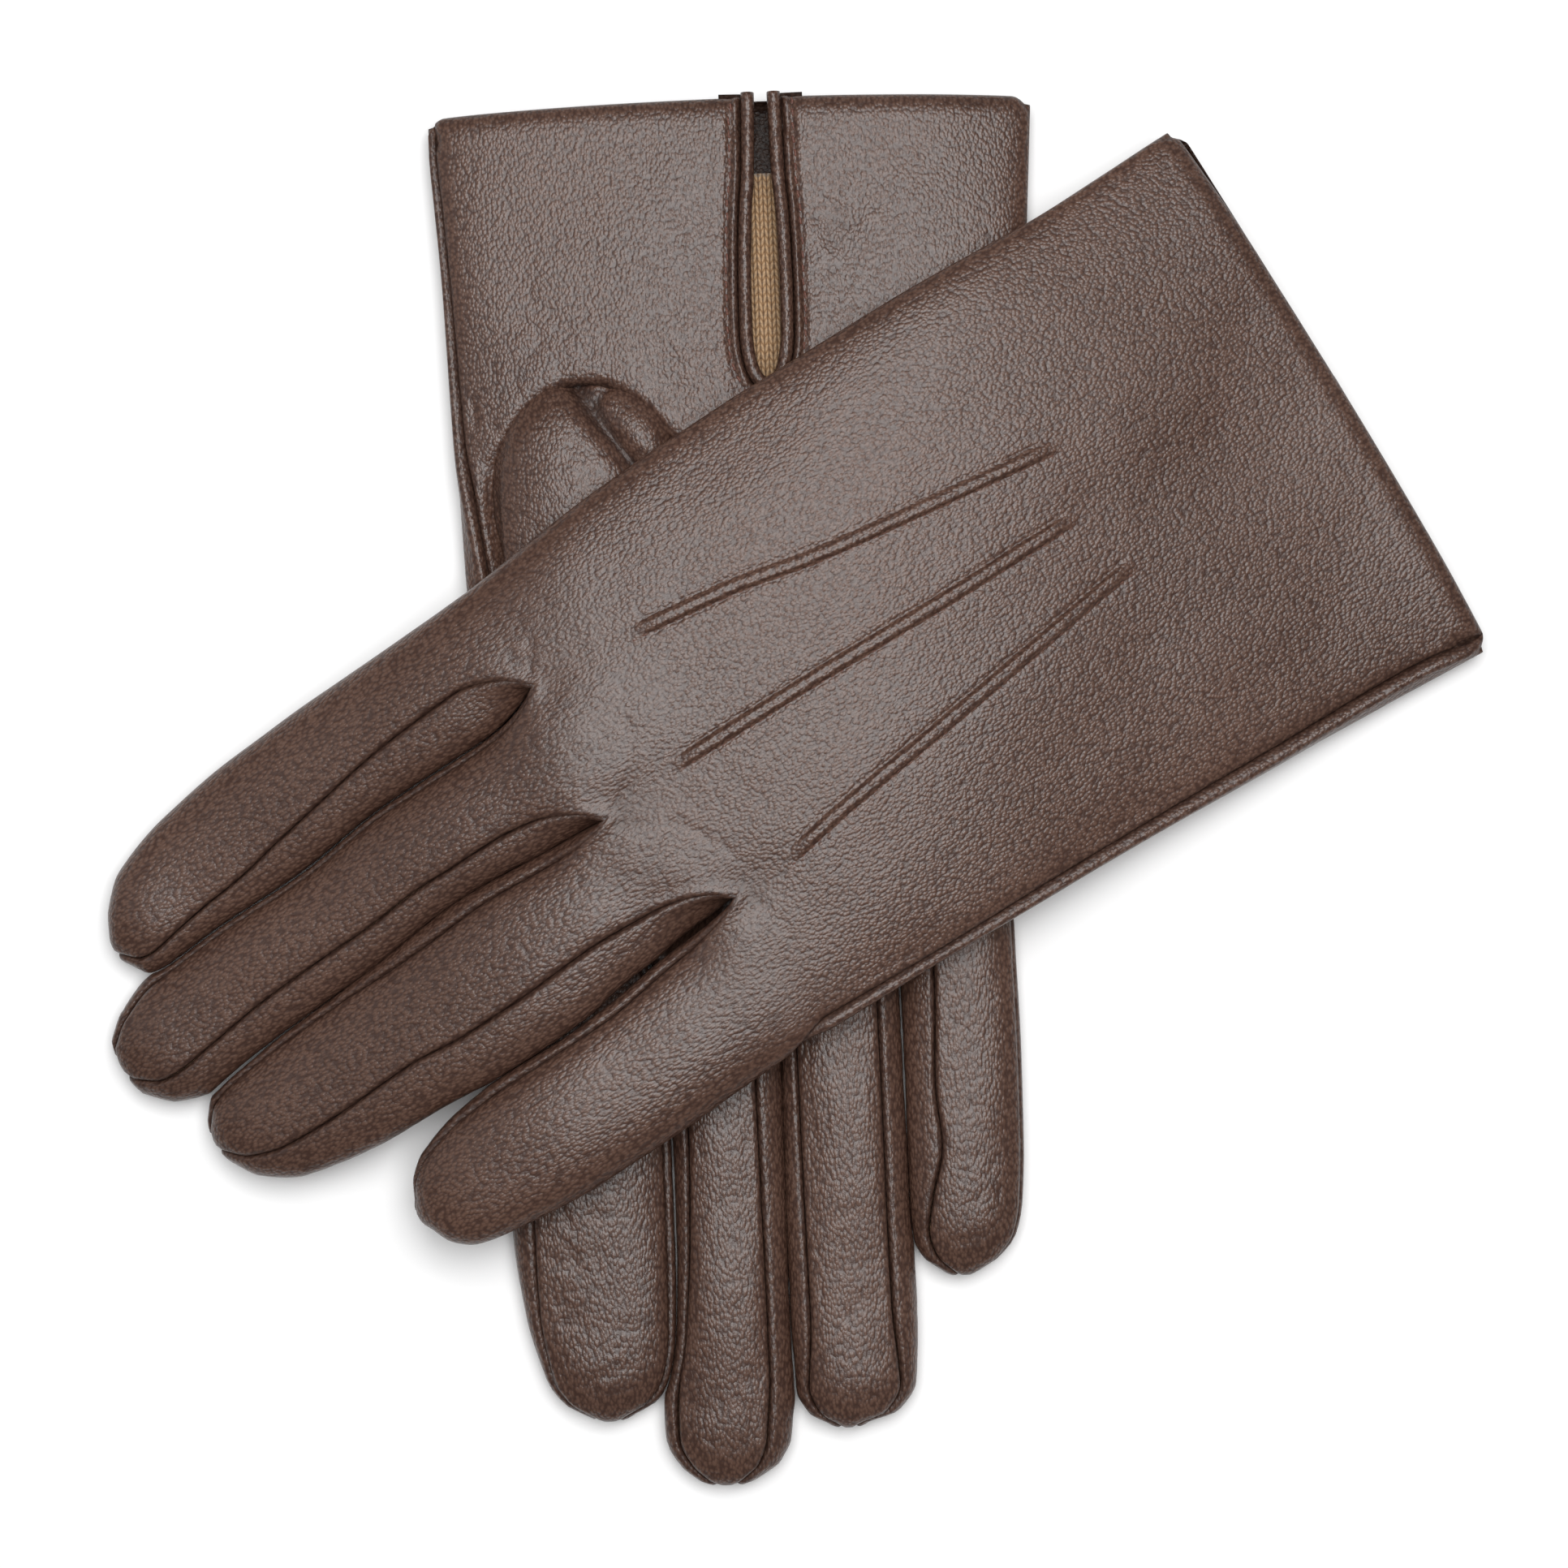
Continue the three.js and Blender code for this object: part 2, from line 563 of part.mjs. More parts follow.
// The outside of the thumb: a flattened tube, open at its root and closed at its tip.
function thumbSkin(glove, tipRings) {
  const outOfPalm = (height) => (glove.upFace === PALM ? HAND_THICKNESS + height : -height);
  const half = THUMB_SIDES / 2;
  const rings = THUMB_V.slice(0, THUMB_V.length - 1 + tipRings).map((middleV, index) => {
    const [outerU, outerHeight] = THUMB_OUTER[index];
    const [innerU, innerHeight] = THUMB_INNER[index];
    const points = [];
    for (let side = 0; side < THUMB_SIDES; side += 1) {
      const angle = 2 * Math.PI * side / THUMB_SIDES;
      const across = signedPower(Math.cos(angle), 2 / FINGER_POWER);
      const out = signedPower(Math.sin(angle), 2 / FINGER_POWER);
      const u = (outerU + innerU) / 2 + (outerU - innerU) / 2 * out;
      const height = (outerHeight + innerHeight) / 2 + (outerHeight - innerHeight) / 2 * out;
      points.push(place(glove, u, middleV + THUMB_HALF_WIDTH[index] * across, outOfPalm(height)));
    }
    return [...points, points[0]];
  });
  const skin = new Skin();
  skin.grid(rings.map((points) => points.slice(0, half + 1)), upright(glove, PALM));
  skin.grid(rings.map((points) => points.slice(half)), upright(glove, BACK));
  const tip = rings[rings.length - 1];
  const ahead = place(glove, 1, 0, 0).sub(place(glove, 0, 0, 0)).setZ(0);
  const cap = [tip.slice(0, half + 1), tip.slice(half).reverse()];
  skin.grid(cap, ahead, (row, column) => column > 0 && column < half - 1);
  return skin;
}

// ---- the pair -----------------------------------------------------------------------
const pair = new THREE.Group();

function addPiece(glove, name, geometry, look) {
  const mesh = new THREE.Mesh(geometry, new THREE.MeshStandardMaterial(look));
  mesh.name = `${glove.name}_${name}`;
  pair.add(mesh);
}

for (const glove of [RIGHT, LEFT]) {
  const whole = wholeGlove(glove);
  addPiece(glove, 'back_panel', panel(glove, whole, BACK, {}), LEATHER_LOOK);
  addPiece(glove, 'palm_panel', panel(glove, whole, PALM, LEATHER_PALM), LEATHER_LOOK);
  addPiece(glove, 'thumb', slab(thumbSkin(glove, 1), {}), LEATHER_LOOK);
  ['index_middle', 'middle_ring', 'ring_little'].forEach((name, crotch) => {
    addPiece(glove, `fourchette_${name}`, fourchette(glove, whole, crotch), LEATHER_LOOK);
  });
  addPiece(glove, 'lining', lining(glove, whole), KNIT_LOOK);
  addPiece(glove, 'thumb_lining',
    slab(thumbSkin(glove, 0), { depth: LEATHER + LAYER_GAP, thickness: THUMB_LINING }), KNIT_LOOK);
  addPiece(glove, 'cuff_facing', cuffFacing(glove, whole), FACING_LOOK);
  addPiece(glove, 'vent_facing', ventBand(glove, 1.9, VENT_FACING_WIDTH,
    { startU: -3.8, depth: LEATHER + LAYER_GAP, thickness: FACING }), FACING_LOOK);
  addPiece(glove, 'vent_piping', ventBand(glove, VENT_HALF_GAP - 0.3 - PIPING, VENT_HALF_GAP - 0.3,
    { startU: -3.4, depth: -PIPING_PROUD, thickness: PIPING_PROUD + LEATHER }), LEATHER_LOOK);
  for (const name of Object.keys(POINTS)) {
    addPiece(glove, `point_thread_${name}`, pointThread(glove, name), THREAD_LOOK);
  }
}

// Stand the pair on Z = 0 with the origin under the middle of its outline.
const bounds = new THREE.Box3().setFromObject(pair);
const middle = bounds.getCenter(new THREE.Vector3());
pair.position.set(-middle.x, -middle.y, -bounds.min.z);

export default pair;
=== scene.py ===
"""A pair of lined leather dress gloves, one laid palm up and the other laid across it back up.

The pieces are meshes worked out here in millimetres in each glove's own directions:
  u runs from the cuff edge to the fingertips, v across, positive towards the index finger,
  h is the height above the underside of that glove.
place() turns them into the row frame. Every piece stands for the plain CAD node of its name.
"""
import math

import bpy
import numpy as np
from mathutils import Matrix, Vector
from mathutils.kdtree import KDTree


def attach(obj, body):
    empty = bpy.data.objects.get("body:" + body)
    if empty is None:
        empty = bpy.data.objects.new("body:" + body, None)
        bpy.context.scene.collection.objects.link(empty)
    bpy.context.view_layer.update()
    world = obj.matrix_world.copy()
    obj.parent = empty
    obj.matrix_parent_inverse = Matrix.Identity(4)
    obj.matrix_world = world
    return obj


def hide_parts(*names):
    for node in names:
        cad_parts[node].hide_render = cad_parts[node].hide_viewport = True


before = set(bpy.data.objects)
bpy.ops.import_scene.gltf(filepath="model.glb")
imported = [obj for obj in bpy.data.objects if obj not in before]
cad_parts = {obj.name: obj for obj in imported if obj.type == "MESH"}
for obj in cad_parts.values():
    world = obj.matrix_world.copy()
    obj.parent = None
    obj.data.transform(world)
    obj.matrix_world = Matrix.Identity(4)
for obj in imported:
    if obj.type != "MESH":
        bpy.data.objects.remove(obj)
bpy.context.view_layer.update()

MM = 0.001
BACK, PALM = 1, -1
INDEX_SIDE, LITTLE_SIDE = 0, 1

# ---- driving dimensions, as in the CAD part, in millimetres ---------------------------
LEATHER, LINING, THUMB_LINING, FACING = 0.8, 0.7, 0.4, 0.5
LINING_DEPTH = 1.8         # from the outside of the leather to the lining
LINING_DRAW_BACK = 4       # from a fingertip to the end of its lining
FACING_DEPTH = 14          # from the cuff edge to the end of the facing turned inside it
CUFF_THICKNESS, HAND_THICKNESS, FINGER_THICKNESS = 10.4, 11.2, 10.4
TIP_THICKNESS, TIP_MIDDLE = 1.2, 4.3
TIP_REACH = 1.1            # from the last station of a finger's table to its tip
TIP_LENGTH = 13            # over which a finger thins towards its tip
TIP_POWER = 2.4
FINGER_LEAD = 6            # a finger's rows start this far before the first station of its table
ROOT_LENGTH = 13           # over which a finger's rows leave the hand's section
FINGER_LENGTH = 95         # about, to count a finger's rows
FINGER_ROWS = 1.15         # spacing of a finger's rows over the hand's
HAND_POWER, FINGER_POWER = 2.9, 2.35    # superellipse powers of the sections
UNDERSIDE_PRESS = 1.08     # how far the underside is pressed flat
LAST_HAND_ROW = 150
KNUCKLE_START = 97         # rows past this one bend towards the crotches
LIFT_BASE = 14.8           # height of the left glove over the right one
FLOOR_CLEARANCE = 0.45
DRAPE_CUFF_SIDE, DRAPE_FINGER_SIDE = (5, 118), (35, 125)    # where it comes down, along x
CUFF_OVERHANG, CUFF_BOW, CUFF_CORNER = 2.0, 1.4, 1.6        # the cuff edge's curve
CUFF_ROWS = [0, 0.25, 0.6, 1.1, 1.8]
SEAM_ROLL = (1.3, 1.0)     # radius and drop of a leather edge at a seam
CUFF_ROLL = (4.2, 2.2)     # and at the cuff
FINE_ROLL = (0.5, 0.1)     # and of the pieces inside
FOURCHETTE_WIDTH = 17
FOURCHETTE_BULGE, OPEN_BULGE = 1.1, 0.3
THUMB_RECESS = 4.2         # how far the palm dips under the folded thumb
THUMB_DIP = {"start": 72, "end": 138, "centre": 28, "reach": 14.6, "slope": 8}
THUMB_HOLE = {"u": 67, "v": 28.5, "half_length": 19, "half_width": 16}
FINGERS = ["index", "middle", "ring", "little"]

# Each glove: the hand's two edges and each finger's two edges as rows of [u, edge, edge],
# and its seams. A seam is a place across the section, as a part of its half width, on the
# back or the palm: (face, rows of [u, part]).
RIGHT = {
    "name": "right", "up": PALM, "cuff": (-12.27, 122.42), "heading": -87.7,
    "hand": [[0, 55.6, -55.2], [30, 53.7, -52.9], [60, 52.6, -51], [90, 51.6, -49],
             [120, 50.6, -47.4], [150, 49.5, -46.4]],
    "crotches": [(150.5, 23), (152, -1), (139.5, -23.5)],
    "index_seam": (PALM, [[0, 0.985], [30, 0.98], [57, 0.97], [72, 0.93], [84, 0.9], [110, 0.87],
                          [150, 0.85]]),
    "little_seam": (BACK, [[0, -0.95], [150, -0.95]]),
    "fingers": {
        "index": [[157, 49.3, 20.2], [166, 49.2, 19.2], [185, 48.7, 18.6], [204, 47.8, 18.6],
                  [218, 46, 18.8], [229, 42.8, 20.2], [234, 39.4, 23.6], [236.5, 35, 28]],
        "middle": [[158, 19, -1.4], [168, 18, -1.8], [186, 17.6, -1.7], [206, 17.6, -1.5],
                   [222, 18.6, -1.5], [232, 20.2, -1.8], [241, 20.2, -0.8], [246, 17.8, 1.6],
                   [249, 14.4, 6]],
        "ring": [[153, -2.6, -23.8], [162, -3, -24], [182, -3, -24.2], [204, -2.9, -24.3],
                 [221, -3, -24.5], [232, -3.4, -23.9], [237.5, -6, -20.4], [239.3, -9.3, -15]],
        "little": [[146, -24.8, -46.2], [156, -25.2, -46.1], [172, -25.4, -46.3],
                   [188, -25.5, -46.2], [200, -25.6, -45.5], [206, -26.4, -44.1],
                   [210, -28.4, -41], [212.3, -31.5, -37.5]],
    },
    "seams": {
        "index": {"back": [(PALM, [[157, 0.8], [185, 0.7], [201, 0.73], [221, 0.85], [229, 0.92]]),
                           (BACK, [[157, -0.3]])],
                  "palm": [None, (PALM, [[157, -0.9], [185, -0.95]])]},
        "middle": {"back": [(BACK, [[157, 0.95]]), (BACK, [[157, -0.5]])],
                   "palm": [(PALM, [[158, 0.8], [185, 0.77], [218, 0.87], [243, 0.91]]),
                            (PALM, [[158, -0.58], [180, -0.6], [218, -0.68]])]},
        "ring": {"back": [(BACK, [[157, 0.84]]), (BACK, [[157, -0.4]])],
                 "palm": [(PALM, [[153, 0.83], [180, 0.8], [219, 0.76], [233, 0.88]]),
                          (PALM, [[153, -0.68], [219, -0.69], [234, -0.86]])]},
        "little": {"back": [(BACK, [[157, 0.87]]), (PALM, [[157, -0.97]])],
                   "palm": [(PALM, [[146, 0.5], [159, 0.48], [178, 0.55], [189, 0.47], [198, 0.66],
                                    [205, 0.82]]), None]},
    },
}
LEFT = {
    "name": "left", "up": BACK, "cuff": (96.03, 71.72), "heading": 211.8,
    "hand": [[0, 55.6, -55.6], [30, 54.6, -53.6], [60, 55.4, -52], [92, 55.5, -50.8],
             [120, 54, -50.3], [150, 50.8, -50.5]],
    "crotches": [(150.5, 30), (152, 3), (139.5, -21.5)],
    "index_seam": (PALM, [[0, 0.95], [150, 0.9]]),
    "little_seam": (BACK, [[0, -0.955], [13, -0.93], [44, -0.95], [88, -0.963], [116, -0.97],
                           [150, -0.955]]),
    "fingers": {
        "index": [[156, 50.6, 27.4], [164, 50.5, 26.9], [182, 49.9, 26.8], [204, 48.6, 24.4],
                  [221, 46, 24], [233, 41.7, 23.1], [238, 37, 24.4], [240.3, 33, 27.5]],
        "middle": [[157, 26.4, 4], [166, 26.1, 4.4], [184, 25.8, 5.2], [204, 23.6, 2.9],
                   [222, 23.3, 1.6], [238, 21.9, -0.4], [246, 19, 1.6], [250.5, 15.5, 6]],
        "ring": [[153, 2.8, -22], [162, 3, -22.6], [180, 4, -25.6], [200, 2, -25.4],
                 [218, 0.7, -25.2], [232, -0.6, -23], [240, -2.7, -18.4], [243, -6, -14]],
        "little": [[146, -23, -50.6], [156, -24.4, -50.9], [172, -26.7, -51.7], [188, -27, -52.2],
                   [202, -28, -51.3], [211, -30.5, -50], [215.5, -33.8, -47], [217.5, -37.5, -43]],
    },
    "seams": {
        "index": {"back": [(PALM, [[157, 0.8]]),
                           (BACK, [[157, -0.25], [163, -0.19], [175, -0.24], [190, -0.36], [204, -0.45],
                                   [216, -0.6], [229, -0.66], [236, -0.71]])],
                  "palm": [None, (PALM, [[157, -0.9]])]},
        "middle": {"back": [(BACK, [[157, 0.96]]),
                            (BACK, [[157, -0.6], [162, -0.53], [169, -0.48], [181, -0.53], [193, -0.5],
                                    [208, -0.42], [236, -0.46], [246, -0.6]])],
                   "palm": [(PALM, [[157, 0.83]]), (PALM, [[157, -0.6]])]},
        "ring": {"back": [(BACK, [[153, 0.88], [182, 0.86], [195, 0.89], [208, 0.95]]),
                          (BACK, [[153, -0.54], [182, -0.37], [197, -0.37], [208, -0.3], [232, -0.43],
                                  [240, -0.52]])],
                 "palm": [(PALM, [[157, 0.83]]), (PALM, [[157, -0.65]])]},
        "little": {"back": [(BACK, [[150, 0.93]]), (PALM, [[157, -0.97]])],
                   "palm": [(PALM, [[157, 0.5]]), None]},
    },
}
for glove in (RIGHT, LEFT):
    glove["seams"]["index"]["palm"][INDEX_SIDE] = glove["seams"]["index"]["back"][INDEX_SIDE]
    glove["seams"]["little"]["palm"][LITTLE_SIDE] = glove["seams"]["little"]["back"][LITTLE_SIDE]

# The three raised points on the back of the hand: [u, v] stations from the knuckles to the cuff.
POINTS = {
    "left": {"index": [(131, 28.8), (110, 26.2), (95, 23.2), (69, 19.8), (48, 17.4)],
             "middle": [(137, 4.6), (107, 4.7), (79, 4.4), (52, 4.7)],
             "ring": [(128, -20.4), (117, -18.2), (91, -14.5), (47, -7.9)]},
    "right": {"index": [(131, 27), (90, 22), (48, 17)],
              "middle": [(137, 3.5), (95, 3.8), (52, 4)],
              "ring": [(128, -20), (91, -14), (47, -8)]},
}

# Fine creases between the roots of the fingers, as (u, v) lines.
KNUCKLE_CREASES = [
    [(149, 27), (141, 21), (139, 14), (145, 6), (150, 4)],
    [(150, 1), (141, -4), (136, -12), (134, -19)],
    [(137, -22), (134, -29), (135, -37)],
    [(150, 31), (146, 38), (147, 46)],
]

# The vent: its centre line and the half width of its opening, as rows of [u, value].
VENT_CENTRE = [[-8, -5.7], [0, -5.65], [27, -5.3], [50, -5.0]]
VENT_HALF = [[-8, 1.2], [-3, 1.25], [11, 1.65], [17, 2.15], [25, 2.5], [33, 2.65], [39, 2.6]]
VENT_START, VENT_END, VENT_ROUND = -8, 48, 9
PIPING = 2.4
STITCH_INSET, STITCH_PITCH = 2.0, 2.5
SIDE_STRIP = 1.1           # height of the rolled strip beside the side seam


# ---- numbers --------------------------------------------------------------------------
def smooth(x, low, high):
    t = np.clip((np.asarray(x, float) - low) / (high - low), 0, 1)
    return t * t * (3 - 2 * t)


def mix(a, b, t):
    return a + (b - a) * t


def signed_power(x, power):
    return np.sign(x) * np.abs(x) ** power


def curve(rows, column=1):
    """A smooth curve without overshoot through rows of [x, value, ...]."""
    xs = np.array([row[0] for row in rows], float)
    ys = np.array([row[column] for row in rows], float)
    if len(xs) == 1:
        return lambda x: np.full(np.shape(x), ys[0])
    steps = np.diff(xs)
    slopes = np.diff(ys) / steps
    tangents = np.zeros(len(xs))
    tangents[0], tangents[-1] = slopes[0], slopes[-1]
    for i in range(1, len(xs) - 1):
        if slopes[i - 1] * slopes[i] > 0:
            tangents[i] = 2 / (1 / slopes[i - 1] + 1 / slopes[i])

    def value(x):
        x = np.clip(np.asarray(x, float), xs[0], xs[-1])
        i = np.clip(np.searchsorted(xs, x) - 1, 0, len(steps) - 1)
        t = (x - xs[i]) / steps[i]
        rise = ys[i] * (2 * t ** 3 - 3 * t ** 2 + 1) + ys[i + 1] * (3 * t ** 2 - 2 * t ** 3)
        lean = tangents[i] * (t ** 3 - 2 * t ** 2 + t) + tangents[i + 1] * (t ** 3 - t ** 2)
        return rise + lean * steps[i]
    return value


LATTICE = np.random.default_rng(11).uniform(-1, 1, (256, 256))


def noise(x, y):
    """Smooth noise from -1 to 1 with features about one unit wide."""
    xi, yi = np.floor(x).astype(int), np.floor(y).astype(int)
    fx, fy = x - xi, y - yi
    sx = fx ** 3 * (fx * (fx * 6 - 15) + 10)
    sy = fy ** 3 * (fy * (fy * 6 - 15) + 10)
    corner = [[LATTICE[(xi + i) & 255, (yi + j) & 255] for j in (0, 1)] for i in (0, 1)]
    low = mix(corner[0][0], corner[1][0], sx)
    high = mix(corner[0][1], corner[1][1], sx)
    return mix(low, high, sy)


def creases(x, y):
    """Thin lines, 1 along them and 0 between them."""
    warp = noise(x * 0.5 + 31, y * 0.5 + 7)
    return np.clip(1 - np.abs(noise(x + warp, y + 0.6 * warp)) * 3.2, 0, 1) ** 2


def bump(u, v, centre_u, centre_v, reach_u, reach_v):
    return np.exp(-((u - centre_u) / reach_u) ** 2 - ((v - centre_v) / reach_v) ** 2)


# ---- the shape of one glove -----------------------------------------------------------
def rest_height(glove, x):
    if glove is RIGHT:
        return np.zeros(np.shape(x))
    over_edge = np.where(x > 0, smooth(x, *DRAPE_CUFF_SIDE), smooth(-x, *DRAPE_FINGER_SIDE))
    return FLOOR_CLEARANCE + LIFT_BASE * (1 - over_edge)


def place(glove, u, v, h):
    """Points of the row frame, in millimetres."""
    turn = math.radians(glove["heading"])
    x = glove["cuff"][0] + u * math.cos(turn) + v * math.sin(turn)
    y = glove["cuff"][1] + u * math.sin(turn) - v * math.cos(turn)
    return np.stack(np.broadcast_arrays(x, y, rest_height(glove, x) + h), -1)


def rim_angle(over, face, x, power):
    """Angle of a place on the rim: 0 at the index edge, then a half turn over the back, or
    minus a half turn over the palm, to the little edge.
    """
    angle = np.arccos(np.clip(signed_power(x, power / 2), -1, 1))
    return over * (angle if face == over else np.where(np.asarray(x) > 0, -angle, 2 * np.pi - angle))


def thumb_dip(u, v):
    along = np.clip(u, THUMB_DIP["start"], THUMB_DIP["end"])
    beyond = np.hypot(u - along, v - THUMB_DIP["centre"]) - THUMB_DIP["reach"]
    return THUMB_RECESS * (1 - smooth(beyond, 0, THUMB_DIP["slope"]))


def rim(glove, section, angle, dip_u=None):
    """The point (v, h) of a section's rim."""
    x = signed_power(np.cos(angle), 2 / section["power"])
    face = signed_power(np.sin(angle), 2 / section["power"])
    v = section["centre"] + section["half"] * x
    rise = face * glove["up"]
    press = np.where(rise < 0, UNDERSIDE_PRESS, 1)
    h = np.maximum(0, section["middle"] + section["thickness"] / 2 * press * rise)
    if dip_u is not None:
        h = h + thumb_dip(dip_u, v) * smooth(-face, 0, 0.8) * glove["up"]
    return v, h


def hand_section(glove, u):
    index_edge, little_edge = curve(glove["hand"], 1)(u), curve(glove["hand"], 2)(u)
    thickness = mix(CUFF_THICKNESS, HAND_THICKNESS, smooth(u, 0, 45))
    return {"centre": (index_edge + little_edge) / 2, "half": (index_edge - little_edge) / 2,
            "thickness": thickness, "middle": thickness / 2, "power": HAND_POWER}


def knuckle_u(glove, x):
    section = hand_section(glove, LAST_HAND_ROW)
    crotches = [((v - section["centre"]) / section["half"], u) for u, v in reversed(glove["crotches"])]
    places, values = zip((-1, 137), *crotches, (1, 150))
    return np.interp(x, np.array(places, float), values)


def hand_u(glove, row, x):
    bow = (CUFF_OVERHANG + CUFF_BOW * (1 - x ** 2)) * np.maximum(0, 1 - row / 36)
    bow = bow - CUFF_CORNER * np.maximum(0, (np.abs(x) - 0.95) / 0.05) ** 2 * np.maximum(0, 1 - row / 8)
    part = np.clip((row - KNUCKLE_START) / (LAST_HAND_ROW - KNUCKLE_START), 0, 1)
    return np.where(row <= KNUCKLE_START, row - bow, mix(KNUCKLE_START, knuckle_u(glove, x), part))


class Finger:
    """Edges, thickness and seams of one finger as smooth functions of u."""
    def __init__(self, glove, name):
        table = glove["fingers"][name]
        last_u, left, right = table[-1]
        self.first = table[0][0] - FINGER_LEAD
        self.tip = last_u + TIP_REACH
        self.end_half = (left - right) / 2 / math.sqrt(self.tip - last_u)
        self.last_u = last_u
        self.centre = curve([[u, (a + b) / 2] for u, a, b in table])
        self.half = curve([[u, (a - b) / 2] for u, a, b in table])
        self.seams = glove["seams"][name]

    def section(self, u):
        from_tip = np.clip((self.tip - u) / TIP_LENGTH, 0, 1)
        fullness = (1 - (1 - from_tip) ** TIP_POWER) ** (1 / TIP_POWER)
        closing = self.end_half * np.sqrt(np.maximum(self.tip - u, 0))
        return {"centre": self.centre(u), "half": np.where(u > self.last_u, closing, self.half(u)),
                "thickness": mix(TIP_THICKNESS, FINGER_THICKNESS, fullness),
                "middle": mix(TIP_MIDDLE, FINGER_THICKNESS / 2, fullness), "power": FINGER_POWER}

    def angle(self, face_name, side, u, over):
        face, rows = self.seams[face_name][side]
        return rim_angle(over, face, curve(rows)(u), FINGER_POWER)


def hand_seam_angle(glove, key, u, over):
    face, rows = glove[key]
    return rim_angle(over, face, curve(rows)(u), HAND_POWER)


# ---- meshes worked out as grids -------------------------------------------------------
def fractions(length, step, fine_start=0.0, fine_end=0.0, fine=0.3):
    """Places from 0 to 1 along a length, closer together in stretches at either end."""
    spacing = [fine] * round(fine_start / fine)
    middle = length - fine_start - fine_end
    count = max(2, round(middle / step))
    spacing += [middle / count] * count + [fine] * round(fine_end / fine)
    places = np.concatenate([[0], np.cumsum(spacing)])
    return places / places[-1]


def along_rim(glove, section_at, u, from_angle, to_angle, parts):
    """Rim angles at parts of the arc length between two angles, one row for each u."""
    angles = np.linspace(0, 1, 90)[None, :] * (to_angle - from_angle)[:, None] + from_angle[:, None]
    section = {key: value[:, None] if np.ndim(value) else value for key, value in section_at(u).items()}
    v, h = rim(glove, section, angles)
    lengths = np.concatenate([np.zeros((len(u), 1)),
                              np.cumsum(np.hypot(np.diff(v, axis=1), np.diff(h, axis=1)), axis=1)], axis=1)
    rows = [np.interp(parts * length[-1], length, angle) for length, angle in zip(lengths, angles)]
    return np.array(rows)


class Sheet:
    """Grids of points joined into one surface, with u and v kept for each point."""
    def __init__(self, glove):
        self.glove = glove
        self.local = np.zeros((0, 3))
        self.quads = np.zeros((0, 4), int)

    def add_points(self, u, v, h):
        start = len(self.local)
        points = np.stack(np.broadcast_arrays(u, v, h), -1).reshape(-1, 3)
        self.local = np.vstack([self.local, points])
        return start + np.arange(len(points)).reshape(np.shape(np.broadcast_arrays(u, v, h)[0]))

    def add_quads(self, index, flip=False):
        a, b = index[:-1, :-1].ravel(), index[1:, :-1].ravel()
        c, d = index[1:, 1:].ravel(), index[:-1, 1:].ravel()
        quads = np.stack([a, d, c, b] if flip else [a, b, c, d], -1)
        self.quads = np.vstack([self.quads, quads])

    def merge(self):
        """Points in the same place become one."""
        keys = np.round(self.local * 500).astype(int)
        _, first, inverse = np.unique(keys, axis=0, return_index=True, return_inverse=True)
        self.local = self.local[first]
        self.quads = inverse.ravel()[self.quads]

    def world(self):
        u, v, h = self.local.T
        return place(self.glove, u, v, h)


def face_columns(glove, face, step, fine_vent):
    """Parts of the arc between the seams and crotches for each finger's columns."""
    section = hand_section(glove, LAST_HAND_ROW)
    edges = [section["centre"] + section["half"], *[v for _, v in glove["crotches"]],
             section["centre"] - section["half"]]
    widths = [a - b for a, b in zip(edges, edges[1:])]
    wrapped = (0, 3) if face == BACK else (3, 3)
    columns = []
    for finger, width in enumerate(widths):
        length = width + (7 if finger in wrapped else 0)
        start = 5 if finger == 0 else 2.4 if face == BACK else 10 if fine_vent and finger == 2 else 0
        end = 5 if finger == 3 else 2.4 if face == BACK else 5 if fine_vent and finger == 1 else 0
        columns.append(fractions(length, step, start, end))
    return columns


def crotch_lines(glove, face, rows):
    """Where each crotch's column crosses the rows, as parts of the half width: along the raised
    points on the back, straight on the palm.
    """
    last = hand_section(glove, LAST_HAND_ROW)
    if face == PALM:
        return [np.full(len(rows), (v - last["centre"]) / last["half"]) for _, v in glove["crotches"]]
    section = hand_section(glove, rows)
    stations = [sorted(points) + [(LAST_HAND_ROW, v)]
                for points, (_, v) in zip(POINTS[glove["name"]].values(), glove["crotches"])]
    return [(curve(line)(rows) - section["centre"]) / section["half"] for line in stations]


def hand_grid(glove, face, rows, columns):
    """Points (u, v, h) of one face of the hand, for all columns."""
    bounds = [hand_seam_angle(glove, "index_seam", rows, face)]
    bounds += [rim_angle(face, face, part, HAND_POWER) for part in crotch_lines(glove, face, rows)]
    bounds += [hand_seam_angle(glove, "little_seam", rows, face)]
    blocks = []
    for finger, parts in enumerate(columns):
        block = along_rim(glove, lambda u: hand_section(glove, u), rows, bounds[finger],
                          bounds[finger + 1], parts)
        blocks.append(block if finger == 3 else block[:, :-1])
    angles = np.concatenate(blocks, axis=1)
    x = signed_power(np.cos(angles), 2 / HAND_POWER)
    u = hand_u(glove, rows[:, None] + 0 * x, x)
    v, h = rim(glove, hand_section(glove, u), angles, u)
    return u, v, h


